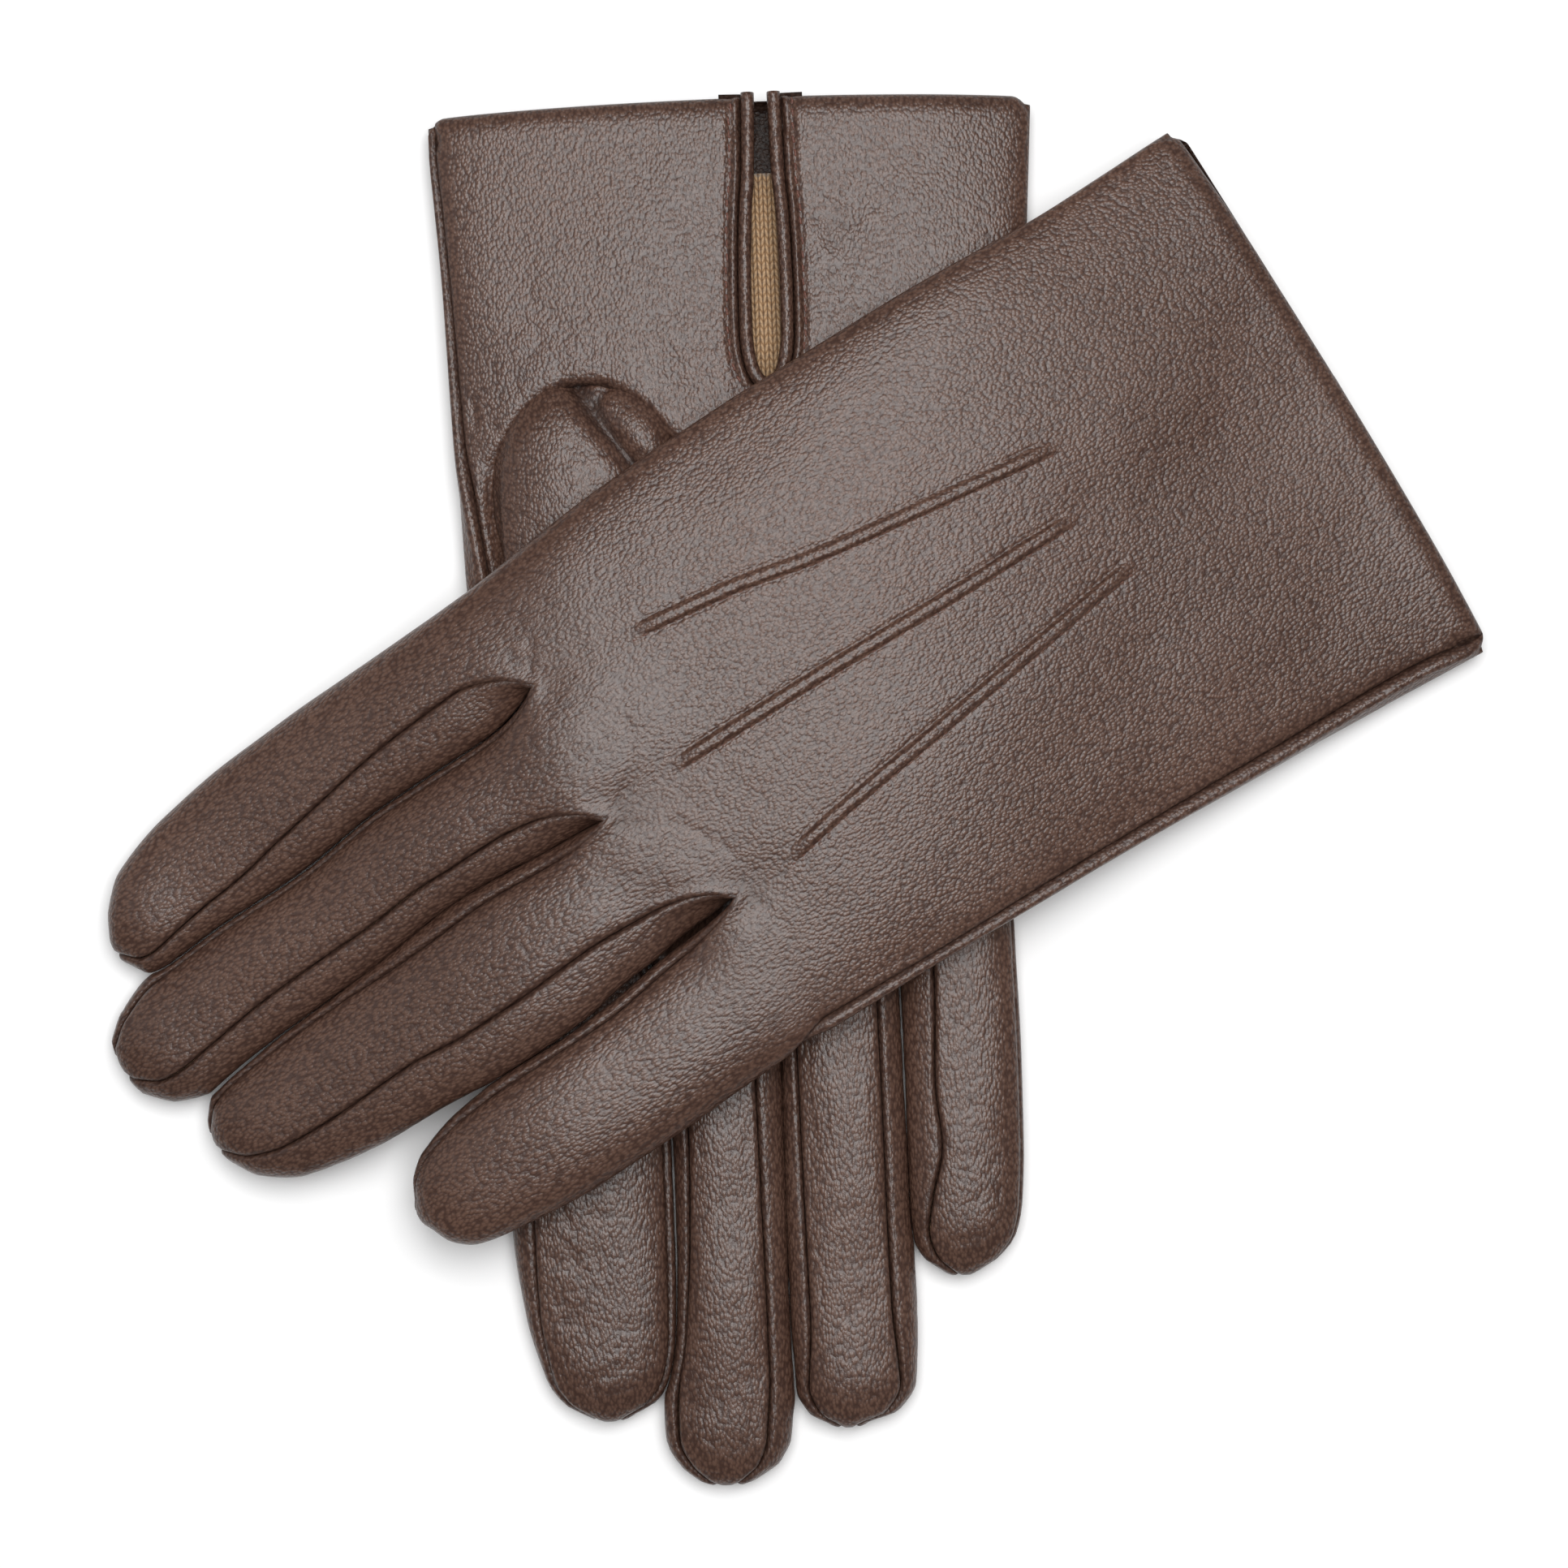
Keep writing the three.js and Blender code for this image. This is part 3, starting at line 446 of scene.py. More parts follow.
def finger_grid(glove, name, seams, over, start, parts, rows, draw_back):
    """Rows of points along a finger between two seams, starting from the points start."""
    finger = Finger(glove, name)
    nominal = mix(finger.first, finger.tip - draw_back, rows)
    from_angle, to_angle = [finger.angle(*seam, nominal, over) for seam in seams]
    angles = along_rim(glove, finger.section, nominal, from_angle, to_angle, parts)
    start_u, start_v, start_h = start
    u = mix(start_u[None, :], finger.tip - draw_back, rows[:, None])
    v, h = rim(glove, finger.section(u), angles)
    travelled = (nominal - finger.first)[:, None]
    across = 1 - (1 - np.clip(travelled / ROOT_LENGTH, 0, 1)) ** 2.5
    v = mix(start_v[None, :], v, across)
    h = mix(start_h[None, :], h, smooth(travelled, 0, 16))
    return u, v, h


def finger_rows(step):
    """Parts of the way from the knuckle to the tip, closer together at the tip."""
    count = round(FINGER_LENGTH / (step * FINGER_ROWS))
    return 1 - np.linspace(1, 0, count + 1)[1:] ** 1.35


def add_face(sheet, face, step, row_step=None, fine_vent=False, first_row=0.0,
             last_row=LAST_HAND_ROW, draw_back=0.03):
    """One face of the hand, and its four fingers if it runs as far as the knuckles."""
    glove = sheet.glove
    row_step = row_step or step
    face_name = "back" if face == BACK else "palm"
    columns = face_columns(glove, face, step, fine_vent)
    edge_rows = CUFF_ROWS if first_row == 0 else [first_row]
    rest = np.linspace(edge_rows[-1], last_row, round((last_row - edge_rows[-1]) / row_step))[1:]
    hand_rows = np.concatenate([edge_rows, rest])
    u, v, h = hand_grid(glove, face, hand_rows, columns)
    index = sheet.add_points(u, v, h)
    flip = face * glove["up"] < 0
    sheet.add_quads(index, flip)
    if last_row < LAST_HAND_ROW:
        return
    offset = 0
    rows = finger_rows(row_step)
    seams = [(face_name, INDEX_SIDE), (face_name, LITTLE_SIDE)]
    for name, parts in zip(FINGERS, columns):
        last = slice(offset, offset + len(parts))
        start = (u[-1, last], v[-1, last], h[-1, last])
        points = finger_grid(glove, name, seams, face, start, parts, rows, draw_back)
        grid = np.vstack([index[-1:, last], sheet.add_points(*points)])
        sheet.add_quads(grid, flip)
        offset += len(parts) - 1


def crotch_point(glove, crotch, face):
    last = hand_section(glove, LAST_HAND_ROW)
    part = (glove["crotches"][crotch][1] - last["centre"]) / last["half"]
    angle = rim_angle(face, face, part, HAND_POWER)
    u = hand_u(glove, np.array(float(LAST_HAND_ROW)), part)
    return (float(u), *[float(value) for value in rim(glove, hand_section(glove, u), angle, u)])


def add_fourchette(sheet, crotch, step, row_step=None, draw_back=0.03):
    """The strip between two fingers: down one finger's side, round the crotch, up the next."""
    glove = sheet.glove
    top, bottom = crotch_point(glove, crotch, BACK), crotch_point(glove, crotch, PALM)
    parts = fractions(FOURCHETTE_WIDTH, step, 1.5, 1.5, min(step, 0.4))
    start = [mix(a, b, parts) for a, b in zip(top, bottom)]
    rows = finger_rows(row_step or step)
    shared = sheet.add_points(*start)[None, :]
    fingers = [Finger(glove, FINGERS[crotch + side]) for side in (0, 1)]
    for side, end in ((0, LITTLE_SIDE), (1, INDEX_SIDE)):
        u, v, h = finger_grid(glove, FINGERS[crotch + side], [("back", end), ("palm", end)], BACK,
                              start, parts, rows, draw_back)
        first, second = fingers
        gap = first.centre(u) - first.half(u) - (second.centre(u) + second.half(u))
        spread = smooth(u, 188, 206) if glove is LEFT and crotch == 2 else 0
        reach = mix(FOURCHETTE_BULGE, OPEN_BULGE, spread)
        bulge = np.clip(gap / 2 - 0.06, 0, reach) * np.sin(np.pi * parts) ** 0.6
        bulge = bulge * smooth(u, fingers[side].first, fingers[side].first + 12)
        points = (u, v - bulge if side == 0 else v + bulge, h)
        turned = (side == 1) != (glove["up"] == PALM)
        sheet.add_quads(np.vstack([shared, sheet.add_points(*points)]), turned)


# ---- holes and edges ------------------------------------------------------------------
def boundary_edges(quads):
    """Directed edges that only one quad has."""
    edges = np.concatenate([quads[:, [i, (i + 1) % 4]] for i in range(4)])
    edges = edges[edges[:, 0] != edges[:, 1]]
    size = quads.max() + 1
    forward = edges[:, 0] * size + edges[:, 1]
    backward = edges[:, 1] * size + edges[:, 0]
    return edges[~np.isin(forward, backward)]


def nearest_on_line(points, line):
    """For points in a plane: the nearest place on a polyline and the distance to it."""
    best = np.full(len(points), 1e9)
    place_on = np.array(points, float)
    for a, b in zip(line, line[1:]):
        along = b - a
        part = np.clip(((points - a) @ along) / max(along @ along, 1e-12), 0, 1)
        spot = a + part[:, None] * along
        distance = np.hypot(*(points - spot).T)
        closer = distance < best
        best[closer] = distance[closer]
        place_on[closer] = spot[closer]
    return place_on, best


def inside(points, line):
    """Which points lie inside a closed polygon."""
    x, y = points.T
    odd = np.zeros(len(points), bool)
    for (ax, ay), (bx, by) in zip(line, np.roll(line, -1, axis=0)):
        crosses = (ay > y) != (by > y)
        with np.errstate(divide="ignore", invalid="ignore"):
            odd ^= crosses & (x < (bx - ax) * (y - ay) / (by - ay) + ax)
    return odd


def cut_hole(sheet, outline):
    """Removes the quads inside an outline in (u, v) and draws the edge left on to the outline."""
    centres = sheet.local[sheet.quads].mean(axis=1)[:, :2]
    near = (centres > outline.min(0) - 3).all(1) & (centres < outline.max(0) + 3).all(1)
    near &= sheet.local[sheet.quads][:, :, 0].max(axis=1) < LAST_HAND_ROW
    removed = np.zeros(len(sheet.quads), bool)
    removed[near] = inside(centres[near], outline)
    dropped_points = np.unique(sheet.quads[removed])
    sheet.quads = sheet.quads[~removed]
    edge_points = np.intersect1d(dropped_points, np.unique(sheet.quads))
    spots, _ = nearest_on_line(sheet.local[edge_points][:, :2], np.vstack([outline, outline[:1]]))
    sheet.local[edge_points, :2] = spots


def hand_height(glove, face, u, v):
    """Height of the hand's surface at (u, v)."""
    section = hand_section(glove, u)
    x = np.clip((v - section["centre"]) / section["half"], -1, 1)
    return rim(glove, section, rim_angle(face, face, x, HAND_POWER), u)[1]


def drop_unused(sheet):
    used, inverse = np.unique(sheet.quads, return_inverse=True)
    sheet.local = sheet.local[used]
    sheet.quads = inverse.reshape(sheet.quads.shape)


def vertex_normals(points, quads):
    corners = points[quads]
    face = np.cross(corners[:, 2] - corners[:, 0], corners[:, 3] - corners[:, 1])
    face /= np.maximum(np.linalg.norm(face, axis=1, keepdims=True), 1e-9)
    normals = np.zeros_like(points)
    for corner in range(4):
        np.add.at(normals, quads[:, corner], face)
    return normals / np.maximum(np.linalg.norm(normals, axis=1, keepdims=True), 1e-9)


def edge_distance(points, edges, reach):
    """Distance from each point to the nearest of some edges, up to about reach."""
    distance = np.full(len(points), reach * 2.0)
    if not len(edges):
        return distance
    ends = np.unique(edges)
    tree = KDTree(len(ends))
    for slot, index in enumerate(ends):
        tree.insert(points[index], slot)
    tree.balance()
    neighbours = {}
    for a, b in edges:
        neighbours.setdefault(a, []).append(b)
        neighbours.setdefault(b, []).append(a)
    low, high = points[ends].min(0) - reach, points[ends].max(0) + reach
    for index in np.nonzero((points > low).all(1) & (points < high).all(1))[0]:
        point = points[index]
        _, slot, gap = tree.find(point)
        if gap > reach + 2:
            continue
        base = points[ends[slot]]
        best = gap
        for other in neighbours[ends[slot]]:
            along = points[other] - base
            part = min(1.0, max(0.0, float((point - base) @ along) / max(float(along @ along), 1e-9)))
            best = min(best, float(np.linalg.norm(point - base - part * along)))
        distance[index] = best
    return distance


def rolled(distance, radius, depth):
    """How far a rounded edge has dropped at a distance from it."""
    part = np.clip(1 - distance / radius, 0, 1)
    return depth * (1 - np.sqrt(1 - part ** 2))


# ---- Blender objects ------------------------------------------------------------------
CUFF_EDGE = 3       # an edge whose u is under this belongs to the cuff
EDGE_REACH = 8      # how far from an edge its distance matters
FAR = 20.0


def make_object(name, points, faces, uv=None, seam=None):
    """A smooth mesh object from points in millimetres."""
    mesh = bpy.data.meshes.new(name)
    if isinstance(faces, np.ndarray):
        mesh.vertices.add(len(points))
        mesh.vertices.foreach_set("co", (points * MM).astype(np.float32).ravel())
        mesh.loops.add(faces.size)
        mesh.loops.foreach_set("vertex_index", faces.astype(np.int32).ravel())
        mesh.polygons.add(len(faces))
        mesh.polygons.foreach_set("loop_start", np.arange(0, faces.size, faces.shape[1], dtype=np.int32))
        mesh.update(calc_edges=True)
    else:
        mesh.from_pydata([tuple(p) for p in points * MM], [], faces)
    mesh.validate()
    mesh.polygons.foreach_set("use_smooth", np.ones(len(mesh.polygons), bool))
    if uv is not None:
        layer = mesh.uv_layers.new(name="UVMap")
        loops = np.zeros(len(mesh.loops), np.int32)
        mesh.loops.foreach_get("vertex_index", loops)
        layer.data.foreach_set("uv", uv[loops].astype(np.float32).ravel())
    if seam is not None:
        attribute = mesh.attributes.new("seam", "FLOAT", "POINT")
        attribute.data.foreach_set("value", seam.astype(np.float32))
    obj = bpy.data.objects.new(name, mesh)
    bpy.context.scene.collection.objects.link(obj)
    return obj


def shell(outer, inner, quads, edges):
    """One closed surface from an outer and an inner layer."""
    count = len(outer)
    inside_quads = quads[:, ::-1] + count
    a, b = edges.T
    rim_quads = np.stack([b, a, a + count, b + count], -1)
    return np.vstack([outer, inner]), np.vstack([quads, inside_quads, rim_quads])


def finish_piece(obj, glove, slot, node=None):
    obj.data.materials.append(MATERIALS[slot, glove["name"]])
    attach(obj, glove["name"] + "_glove")
    if node:
        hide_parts(node)


def shell_piece(sheet, part, slot, displace, thickness, **edges):
    """A shell that stands for one CAD node. Returns its surface."""
    node = f"{sheet.glove['name']}_{part}"
    ending = "_knit" if slot == "knit_lining" else "_leather"
    obj, surface = build_shell(sheet, node + ending, displace, thickness, **edges)
    finish_piece(obj, sheet.glove, slot, node)
    return surface


def build_shell(sheet, name, displace, thickness, seam_roll=SEAM_ROLL, cuff_roll=None, depth=0.0):
    """A shell piece from a sheet. displace(local, distance, facing) gives its relief in
    millimetres, from the distance to the nearest seam and how far the surface faces up or down.
    """
    drop_unused(sheet)
    points = sheet.world()
    quads = sheet.quads
    normals = vertex_normals(points, quads)
    edges = boundary_edges(quads)
    at_cuff = np.zeros(len(edges), bool)
    if cuff_roll:
        at_cuff = sheet.local[edges][:, :, 0].max(axis=1) < CUFF_EDGE
    seam_distance = edge_distance(points, edges[~at_cuff], EDGE_REACH)
    cuff_distance = np.full(len(points), FAR)
    if at_cuff.any():
        cuff_distance = edge_distance(points, edges[at_cuff], EDGE_REACH)
    drop = rolled(seam_distance, *seam_roll)
    if cuff_roll:
        drop = np.maximum(drop, rolled(cuff_distance, *cuff_roll) * np.abs(normals[:, 2]))
    relief = np.zeros(len(points))
    if displace:
        relief = displace(sheet.local, seam_distance, np.abs(normals[:, 2]))
    outer = points + normals * (relief - drop - depth)[:, None]
    inner = points + normals * (np.minimum(relief + 0.3, 0) - drop - depth - thickness)[:, None]
    outer[:, 2] = np.maximum(outer[:, 2], 0)
    inner[:, 2] = np.maximum(inner[:, 2], 0)
    verts, faces = shell(outer, inner, quads, edges)
    uv = np.vstack([sheet.local[:, :2]] * 2) * 0.1
    # Painted shade: this mask darkens the leather along seams, at the cuff edge and in creases and hollows
    # of the relief; it is kept in the 'seam' attribute.
    shade = np.exp(-seam_distance / 0.5) + 0.5 * np.exp(-cuff_distance / 1.2)
    shade = shade + smooth(-relief, 0.25, 1.0)
    obj = make_object(name, verts, faces, uv, np.concatenate([shade, shade]))
    return obj, {"local": sheet.local, "outer": outer, "normals": normals}


# ---- lines on the gloves --------------------------------------------------------------
def line_normals(line):
    tangent = np.gradient(line, axis=0)
    tangent /= np.linalg.norm(tangent, axis=1, keepdims=True)
    return np.stack([-tangent[:, 1], tangent[:, 0]], -1)


def line_lengths(line):
    """How far along a line each of its points is."""
    return np.concatenate([[0], np.cumsum(np.hypot(*np.diff(line, axis=0).T))])


def points_at(line, spots):
    """The points of a line at some lengths along it."""
    lengths = line_lengths(line)
    return np.stack([np.interp(spots, lengths, line[:, axis]) for axis in (0, 1)], -1)


def vent_outline(distance, first_u=VENT_START, step=0.6):
    """Points (u, v) round the vent's opening, at a distance outside it."""
    centre, half = curve(VENT_CENTRE), curve(VENT_HALF)
    bend = VENT_END - VENT_ROUND
    straight = np.linspace(VENT_START, bend, 60)
    turn = np.linspace(0, np.pi / 2, 24)[1:]
    u = np.concatenate([straight, bend + VENT_ROUND * np.sin(turn)])
    width = np.concatenate([half(straight), half(bend) * np.cos(turn)])
    up = np.stack([u, centre(u) + width], -1)
    down = np.stack([u, centre(u) - width], -1)[::-1][1:]
    line = np.vstack([up, down])
    line = line + distance * line_normals(line)
    line = line[line[:, 0] >= first_u]
    length = line_lengths(line)[-1]
    return points_at(line, np.linspace(0, length, max(2, round(length / step))))


def thumb_outline(grow=0.0):
    turn = np.linspace(0, 2 * np.pi, 120)[:-1]
    return np.stack([THUMB_HOLE["u"] + (THUMB_HOLE["half_length"] + grow) * np.cos(turn),
                     THUMB_HOLE["v"] + (THUMB_HOLE["half_width"] + grow) * np.sin(turn)], -1)


def line_distance(u, v, line, reach):
    """Distance from (u, v) to a polyline where it is under reach, and reach elsewhere."""
    line = np.asarray(line, float)
    points = np.stack([u, v], -1)
    low, high = line.min(0) - reach, line.max(0) + reach
    near = (points > low).all(1) & (points < high).all(1)
    distance = np.full(len(points), float(reach))
    distance[near] = np.minimum(nearest_on_line(points[near], line)[1], reach)
    return distance


def smooth_line(stations, step=1.0):
    """A smooth line through a few [u, v] stations, from the cuff towards the knuckles."""
    stations = sorted([list(map(float, s)) for s in stations])
    u = np.arange(stations[0][0], stations[-1][0], step)
    return np.stack([u, curve(stations)(u)], -1)


# ---- relief of the leather, in millimetres --------------------------------------------
def soft_waves(u, v, seed):
    return 0.34 * noise(u / 24 + seed, v / 17) + 0.07 * noise(u / 9 + seed, v / 8 + 3)


def point_relief(glove, u, v):
    """Three narrow ridges, each between two shallow grooves."""
    relief = np.zeros(len(u))
    for stations in POINTS[glove["name"]].values():
        line = smooth_line(stations)
        d = line_distance(u, v, line, 9)
        first, last = line[0, 0], line[-1, 0]
        taper = smooth(u, first - 1, first + 5) * smooth(-u, -last - 1, 6 - last)
        ridge = 0.6 * np.exp(-(d / 1.02) ** 6) - 0.16 * np.exp(-((d - 1.5) / 0.35) ** 2)
        relief += taper * ridge
    return relief


def crotch_relief(glove, u, v):
    relief = np.zeros(len(u))
    for crotch_u, crotch_v in glove["crotches"]:
        relief -= 0.4 * bump(u, v, crotch_u - 2, crotch_v, 13, 5)
    return relief


def strip_relief(v, u, distance, side):
    """The rolled strip beside the seam that runs along one edge of the hand."""
    strip = np.exp(-((distance - 1.7) / 1.25) ** 2)
    return SIDE_STRIP * strip * smooth(v * side, 38, 44) * smooth(LAST_HAND_ROW + 6 - u, 0, 16)


def back_relief(glove):
    def relief(local, distance, facing):
        u, v, _ = local.T
        field = soft_waves(u, v, 4) + point_relief(glove, u, v) + crotch_relief(glove, u, v)
        knuckles = bump(u, v, 146, 5, 14, 34)
        field -= 0.07 * knuckles * creases(u / 8 + v / 40, v / 5 + 9)
        field -= 0.05 * creases(u / 5, v / 14) * smooth(noise(u / 30, v / 20), 0, 0.6)
        for line in KNUCKLE_CREASES:
            wander = 0.5 * noise(u / 3, v / 3)
            field -= 0.13 * np.exp(-((line_distance(u, v, line, 4) + wander) / 0.45) ** 2)
        edge = facing * strip_relief(v, u, distance, 1) if glove is RIGHT else 0
        return field * smooth(distance, 0.2, 3) + edge
    return relief


def palm_relief(glove):
    vent = vent_outline(0)

    def relief(local, distance, facing):
        u, v, _ = local.T
        from_vent = line_distance(u, v, vent, 16) - PIPING
        field = soft_waves(u, v, 9) + crotch_relief(glove, u, v)
        side = bump(u, v, 24, -19, 16, 11) + 0.8 * bump(u, v, 40, 8, 9, 9)
        field -= 0.36 * side * creases(u / 3.2 + v / 9, v / 8)
        above_thumb = bump(u, v, 42, 34, 13, 13) + bump(u, v, 62, 48, 22, 5)
        field -= 0.34 * above_thumb * creases(u / 3.2, v / 9 + 4)
        field -= 0.45 * bump(u, v, 54, -2, 14, 18) * creases(u / 3.4 + v / 6, v / 7)
        fingers = smooth(u, 146, 158)
        field -= 0.16 * fingers * creases(u / 2.6 + 5, v / 12)
        index_half = smooth(v, 30, 38) * smooth(u, 186, 200)
        field -= 0.38 * index_half * creases(u / 3.0, v / 7 + 2)
        field *= smooth(distance, 0.2, 3)
        near_vent = smooth(52 - u, 0, 4)
        stitched = np.exp(-((from_vent - STITCH_INSET) / 0.5) ** 2) * near_vent
        fold = np.exp(-((from_vent - 0.85) / 0.6) ** 2) * near_vent
        edge = facing * strip_relief(v, u, distance, -1) if glove is LEFT else 0
        return field - 0.4 * stitched + 0.5 * fold + edge
    return relief


def plain_relief(local, distance, facing):
    u, v, _ = local.T
    return (0.5 * soft_waves(u, v, 17) - 0.1 * creases(u / 6, v / 5)) * smooth(distance, 0.2, 3)


# ---- materials ------------------------------------------------------------------------
class Nodes:
    """Small helper to write a material's nodes as function calls."""
    def __init__(self, name):
        self.material = bpy.data.materials.new(name)
        self.material.use_nodes = True
        self.tree = self.material.node_tree
        self.shader = self.tree.nodes["Principled BSDF"]

    def connect(self, node, inputs):
        for key, value in inputs.items():
            if isinstance(value, bpy.types.NodeSocket):
                self.tree.links.new(value, node.inputs[key])
            else:
                node.inputs[key].default_value = value
        return node

    def add(self, kind, inputs=None, **settings):
        node = self.tree.nodes.new(kind)
        for key, value in settings.items():
            setattr(node, key, value)
        return self.connect(node, inputs or {})

    def math(self, operation, a, b=0.0, clamp=False):
        return self.add("ShaderNodeMath", {0: a, 1: b}, operation=operation, use_clamp=clamp).outputs[0]

    def vector_math(self, operation, inputs):
        return self.add("ShaderNodeVectorMath", inputs, operation=operation).outputs[0]

    def uv(self):
        place_on = self.add("ShaderNodeTexCoord").outputs["UV"]
        return self.add("ShaderNodeSeparateXYZ", {"Vector": place_on}).outputs

    def ramp(self, value, stops):
        node = self.add("ShaderNodeValToRGB", {"Fac": value})
        elements = node.color_ramp.elements
        while len(elements) < len(stops):
            elements.new(0.5)
        for element, (position, colour) in zip(elements, stops):
            element.position = position
            element.color = (*colour, 1)
        return node.outputs["Color"]

    def mix_colour(self, factor, a, b, blend="MIX"):
        b = (*b, 1) if isinstance(b, tuple) else b
        return self.add("ShaderNodeMix", {"Factor": factor, 6: a, 7: b}, data_type="RGBA",
                        blend_type=blend).outputs[2]

    def noise(self, vector, scale, detail=2.0):
        inputs = {"Vector": vector, "Scale": scale, "Detail": detail}
        return self.add("ShaderNodeTexNoise", inputs).outputs["Fac"]

    def object_place(self, turn=0.0, stretch=(1, 1, 1)):
        """Places on the object in directions turned by turn, in features stretched by stretch."""
        place_in = self.add("ShaderNodeTexCoord").outputs["Object"]
        inputs = {"Vector": place_in, "Rotation": (0, 0, math.radians(turn)), "Scale": stretch}
        return self.add("ShaderNodeMapping", inputs, vector_type="TEXTURE").outputs["Vector"]

    def warped(self, vector, scale, amount):
        swirl = self.add("ShaderNodeTexNoise", {"Vector": vector, "Scale": scale, "Detail": 1.0})
        centred = self.vector_math("SUBTRACT", {0: swirl.outputs["Color"], 1: (0.5, 0.5, 0.5)})
        shift = self.vector_math("SCALE", {0: centred, "Scale": amount})
        return self.vector_math("ADD", {0: vector, 1: shift})

    # The 'seam' attribute holds the painted shade mask for seams, the cuff edge and creases.
    def seam(self):
        return self.add("ShaderNodeAttribute", attribute_name="seam").outputs["Fac"]

    def bump(self, height, strength, distance):
        inputs = {"Height": height, "Strength": strength, "Distance": distance}
        return self.add("ShaderNodeBump", inputs).outputs[0]


LEATHER_TONES = [(0.05, (0.048, 0.023, 0.016)), (0.42, (0.098, 0.052, 0.036)),
                 (0.9, (0.118, 0.066, 0.048))]
# Near-black brown of the painted shade along seams, at the cuff edge and in creases.
SEAM_SHADE_TONE = (0.012, 0.005, 0.0035)
GRAIN_SCALES = (1750.0, 1850.0)     # on the hand and on the fingers


def pebbles(n, turn, stretch, scale):
    """Height of the grain: rounded cells, stretched along the glove."""
    grain = n.warped(n.object_place(turn, (stretch, 1, 1)), 1500.0, 0.0003)
    cell = n.add("ShaderNodeTexVoronoi", {"Vector": grain, "Scale": scale, "Smoothness": 0.35},
                 feature="SMOOTH_F1").outputs["Distance"]
    return n.math("MULTIPLY", cell, -1.0)


def leather_material(name, turn, stretches=(1.35, 1.9), tone=1.0, gloss=0.42):
    n = Nodes(name)
    reach = {"Value": n.uv()["X"], "From Min": 12.5, "From Max": 16.0}
    on_fingers = n.add("ShaderNodeMapRange", reach).outputs[0]
    hand, fingers = [pebbles(n, turn, stretch, scale) for stretch, scale in zip(stretches, GRAIN_SCALES)]
    grain = n.add("ShaderNodeMix", {"Factor": on_fingers, 2: hand, 3: fingers}).outputs[0]
    fine = n.noise(n.object_place(), 3600.0, 2.0)
    height = n.math("ADD", grain, n.math("MULTIPLY", fine, 0.25))
    broad = n.noise(n.object_place(), 22.0, 3.0)
    tones = [(place_in, [part * tone for part in colour]) for place_in, colour in LEATHER_TONES]
    colour = n.ramp(n.math("ADD", height, 0.62), tones)
    patchy = n.ramp(broad, [(0.3, (0.86, 0.84, 0.83)), (0.7, (1.10, 1.10, 1.10))])
    colour = n.mix_colour(1.0, colour, patchy, "MULTIPLY")
    # Painted shade: the colour darkens along seams, at the cuff edge and in creases, and the same mask makes
    # the leather rougher there.
    painted_shade = n.math("MULTIPLY", n.seam(), 0.55, clamp=True)
    colour = n.mix_colour(painted_shade, colour, SEAM_SHADE_TONE)
    rough = n.math("ADD", n.math("MULTIPLY", broad, 0.10), 0.28)
    rough = n.math("ADD", rough, n.math("MULTIPLY", painted_shade, 0.25))
    n.connect(n.shader, {"Base Color": colour, "Roughness": rough, "Specular IOR Level": gloss,
                         "Normal": n.bump(height, 0.6, 0.00022)})
    return n.material


WALE, COURSE = 1.55, 1.5            # width and length of a knitted stitch


def knit_material():
    """Fine rib knit: columns of V stitches along u, on UVs in centimetres."""
    n = Nodes("camel_knit")
    place_on = n.uv()
    wale = n.math("MULTIPLY", place_on["Y"], 10 / WALE)
    in_wale = n.math("ABSOLUTE", n.math("SUBTRACT", n.math("FRACT", wale), 0.5))
    courses = n.math("MULTIPLY", place_on["X"], 10 / COURSE)
    slanted = n.math("SUBTRACT", courses, n.math("MULTIPLY", in_wale, 1.3))
    strand = n.math("ABSOLUTE", n.math("SUBTRACT", n.math("FRACT", slanted), 0.5))
    strand = n.math("SUBTRACT", 1.0, n.math("MULTIPLY", strand, 2.0))
    gutter = n.math("SINE", n.math("MULTIPLY", in_wale, 2 * math.pi))
    height = n.math("MULTIPLY", n.math("ADD", strand, 0.25), n.math("ABSOLUTE", gutter))
    fuzz = n.noise(n.object_place(), 2600.0, 4.0)
    height = n.math("ADD", height, n.math("MULTIPLY", fuzz, 0.5))
    colour = n.ramp(height, [(0.15, (0.045, 0.020, 0.009)), (0.55, (0.34, 0.19, 0.09)),
                             (1.0, (0.60, 0.39, 0.22))])
    n.connect(n.shader, {"Base Color": colour, "Roughness": 0.95, "Sheen Weight": 0.3,
                         "Normal": n.bump(height, 0.9, 0.0004)})
    return n.material


def thread_material():
    n = Nodes("brown_thread")
    twist = n.noise(n.object_place(), 5200.0, 2.0)
    colour = n.ramp(twist, [(0.3, (0.040, 0.014, 0.009)), (0.75, (0.20, 0.075, 0.050))])
    n.connect(n.shader, {"Base Color": colour, "Roughness": 0.6, "Normal": n.bump(twist, 0.5, 0.0001)})
    return n.material


MATERIALS = {("glove_leather", glove["name"]): leather_material("leather_" + glove["name"], glove["heading"])
             for glove in (RIGHT, LEFT)}
for slot, shared in (("facing_leather", leather_material("leather_facing", 0, tone=0.35, gloss=0.12)),
                     ("knit_lining", knit_material()), ("thread", thread_material())):
    MATERIALS[slot, "right"] = MATERIALS[slot, "left"] = shared

# ---- the pieces -----------------------------------------------------------------------
# Grid steps in millimetres for faces seen from above and for the ones underneath.
STEP_BACK, STEP_PALM, STEP_HIDDEN, STEP_LINING = 0.6, 0.7, 1.5, 2.4


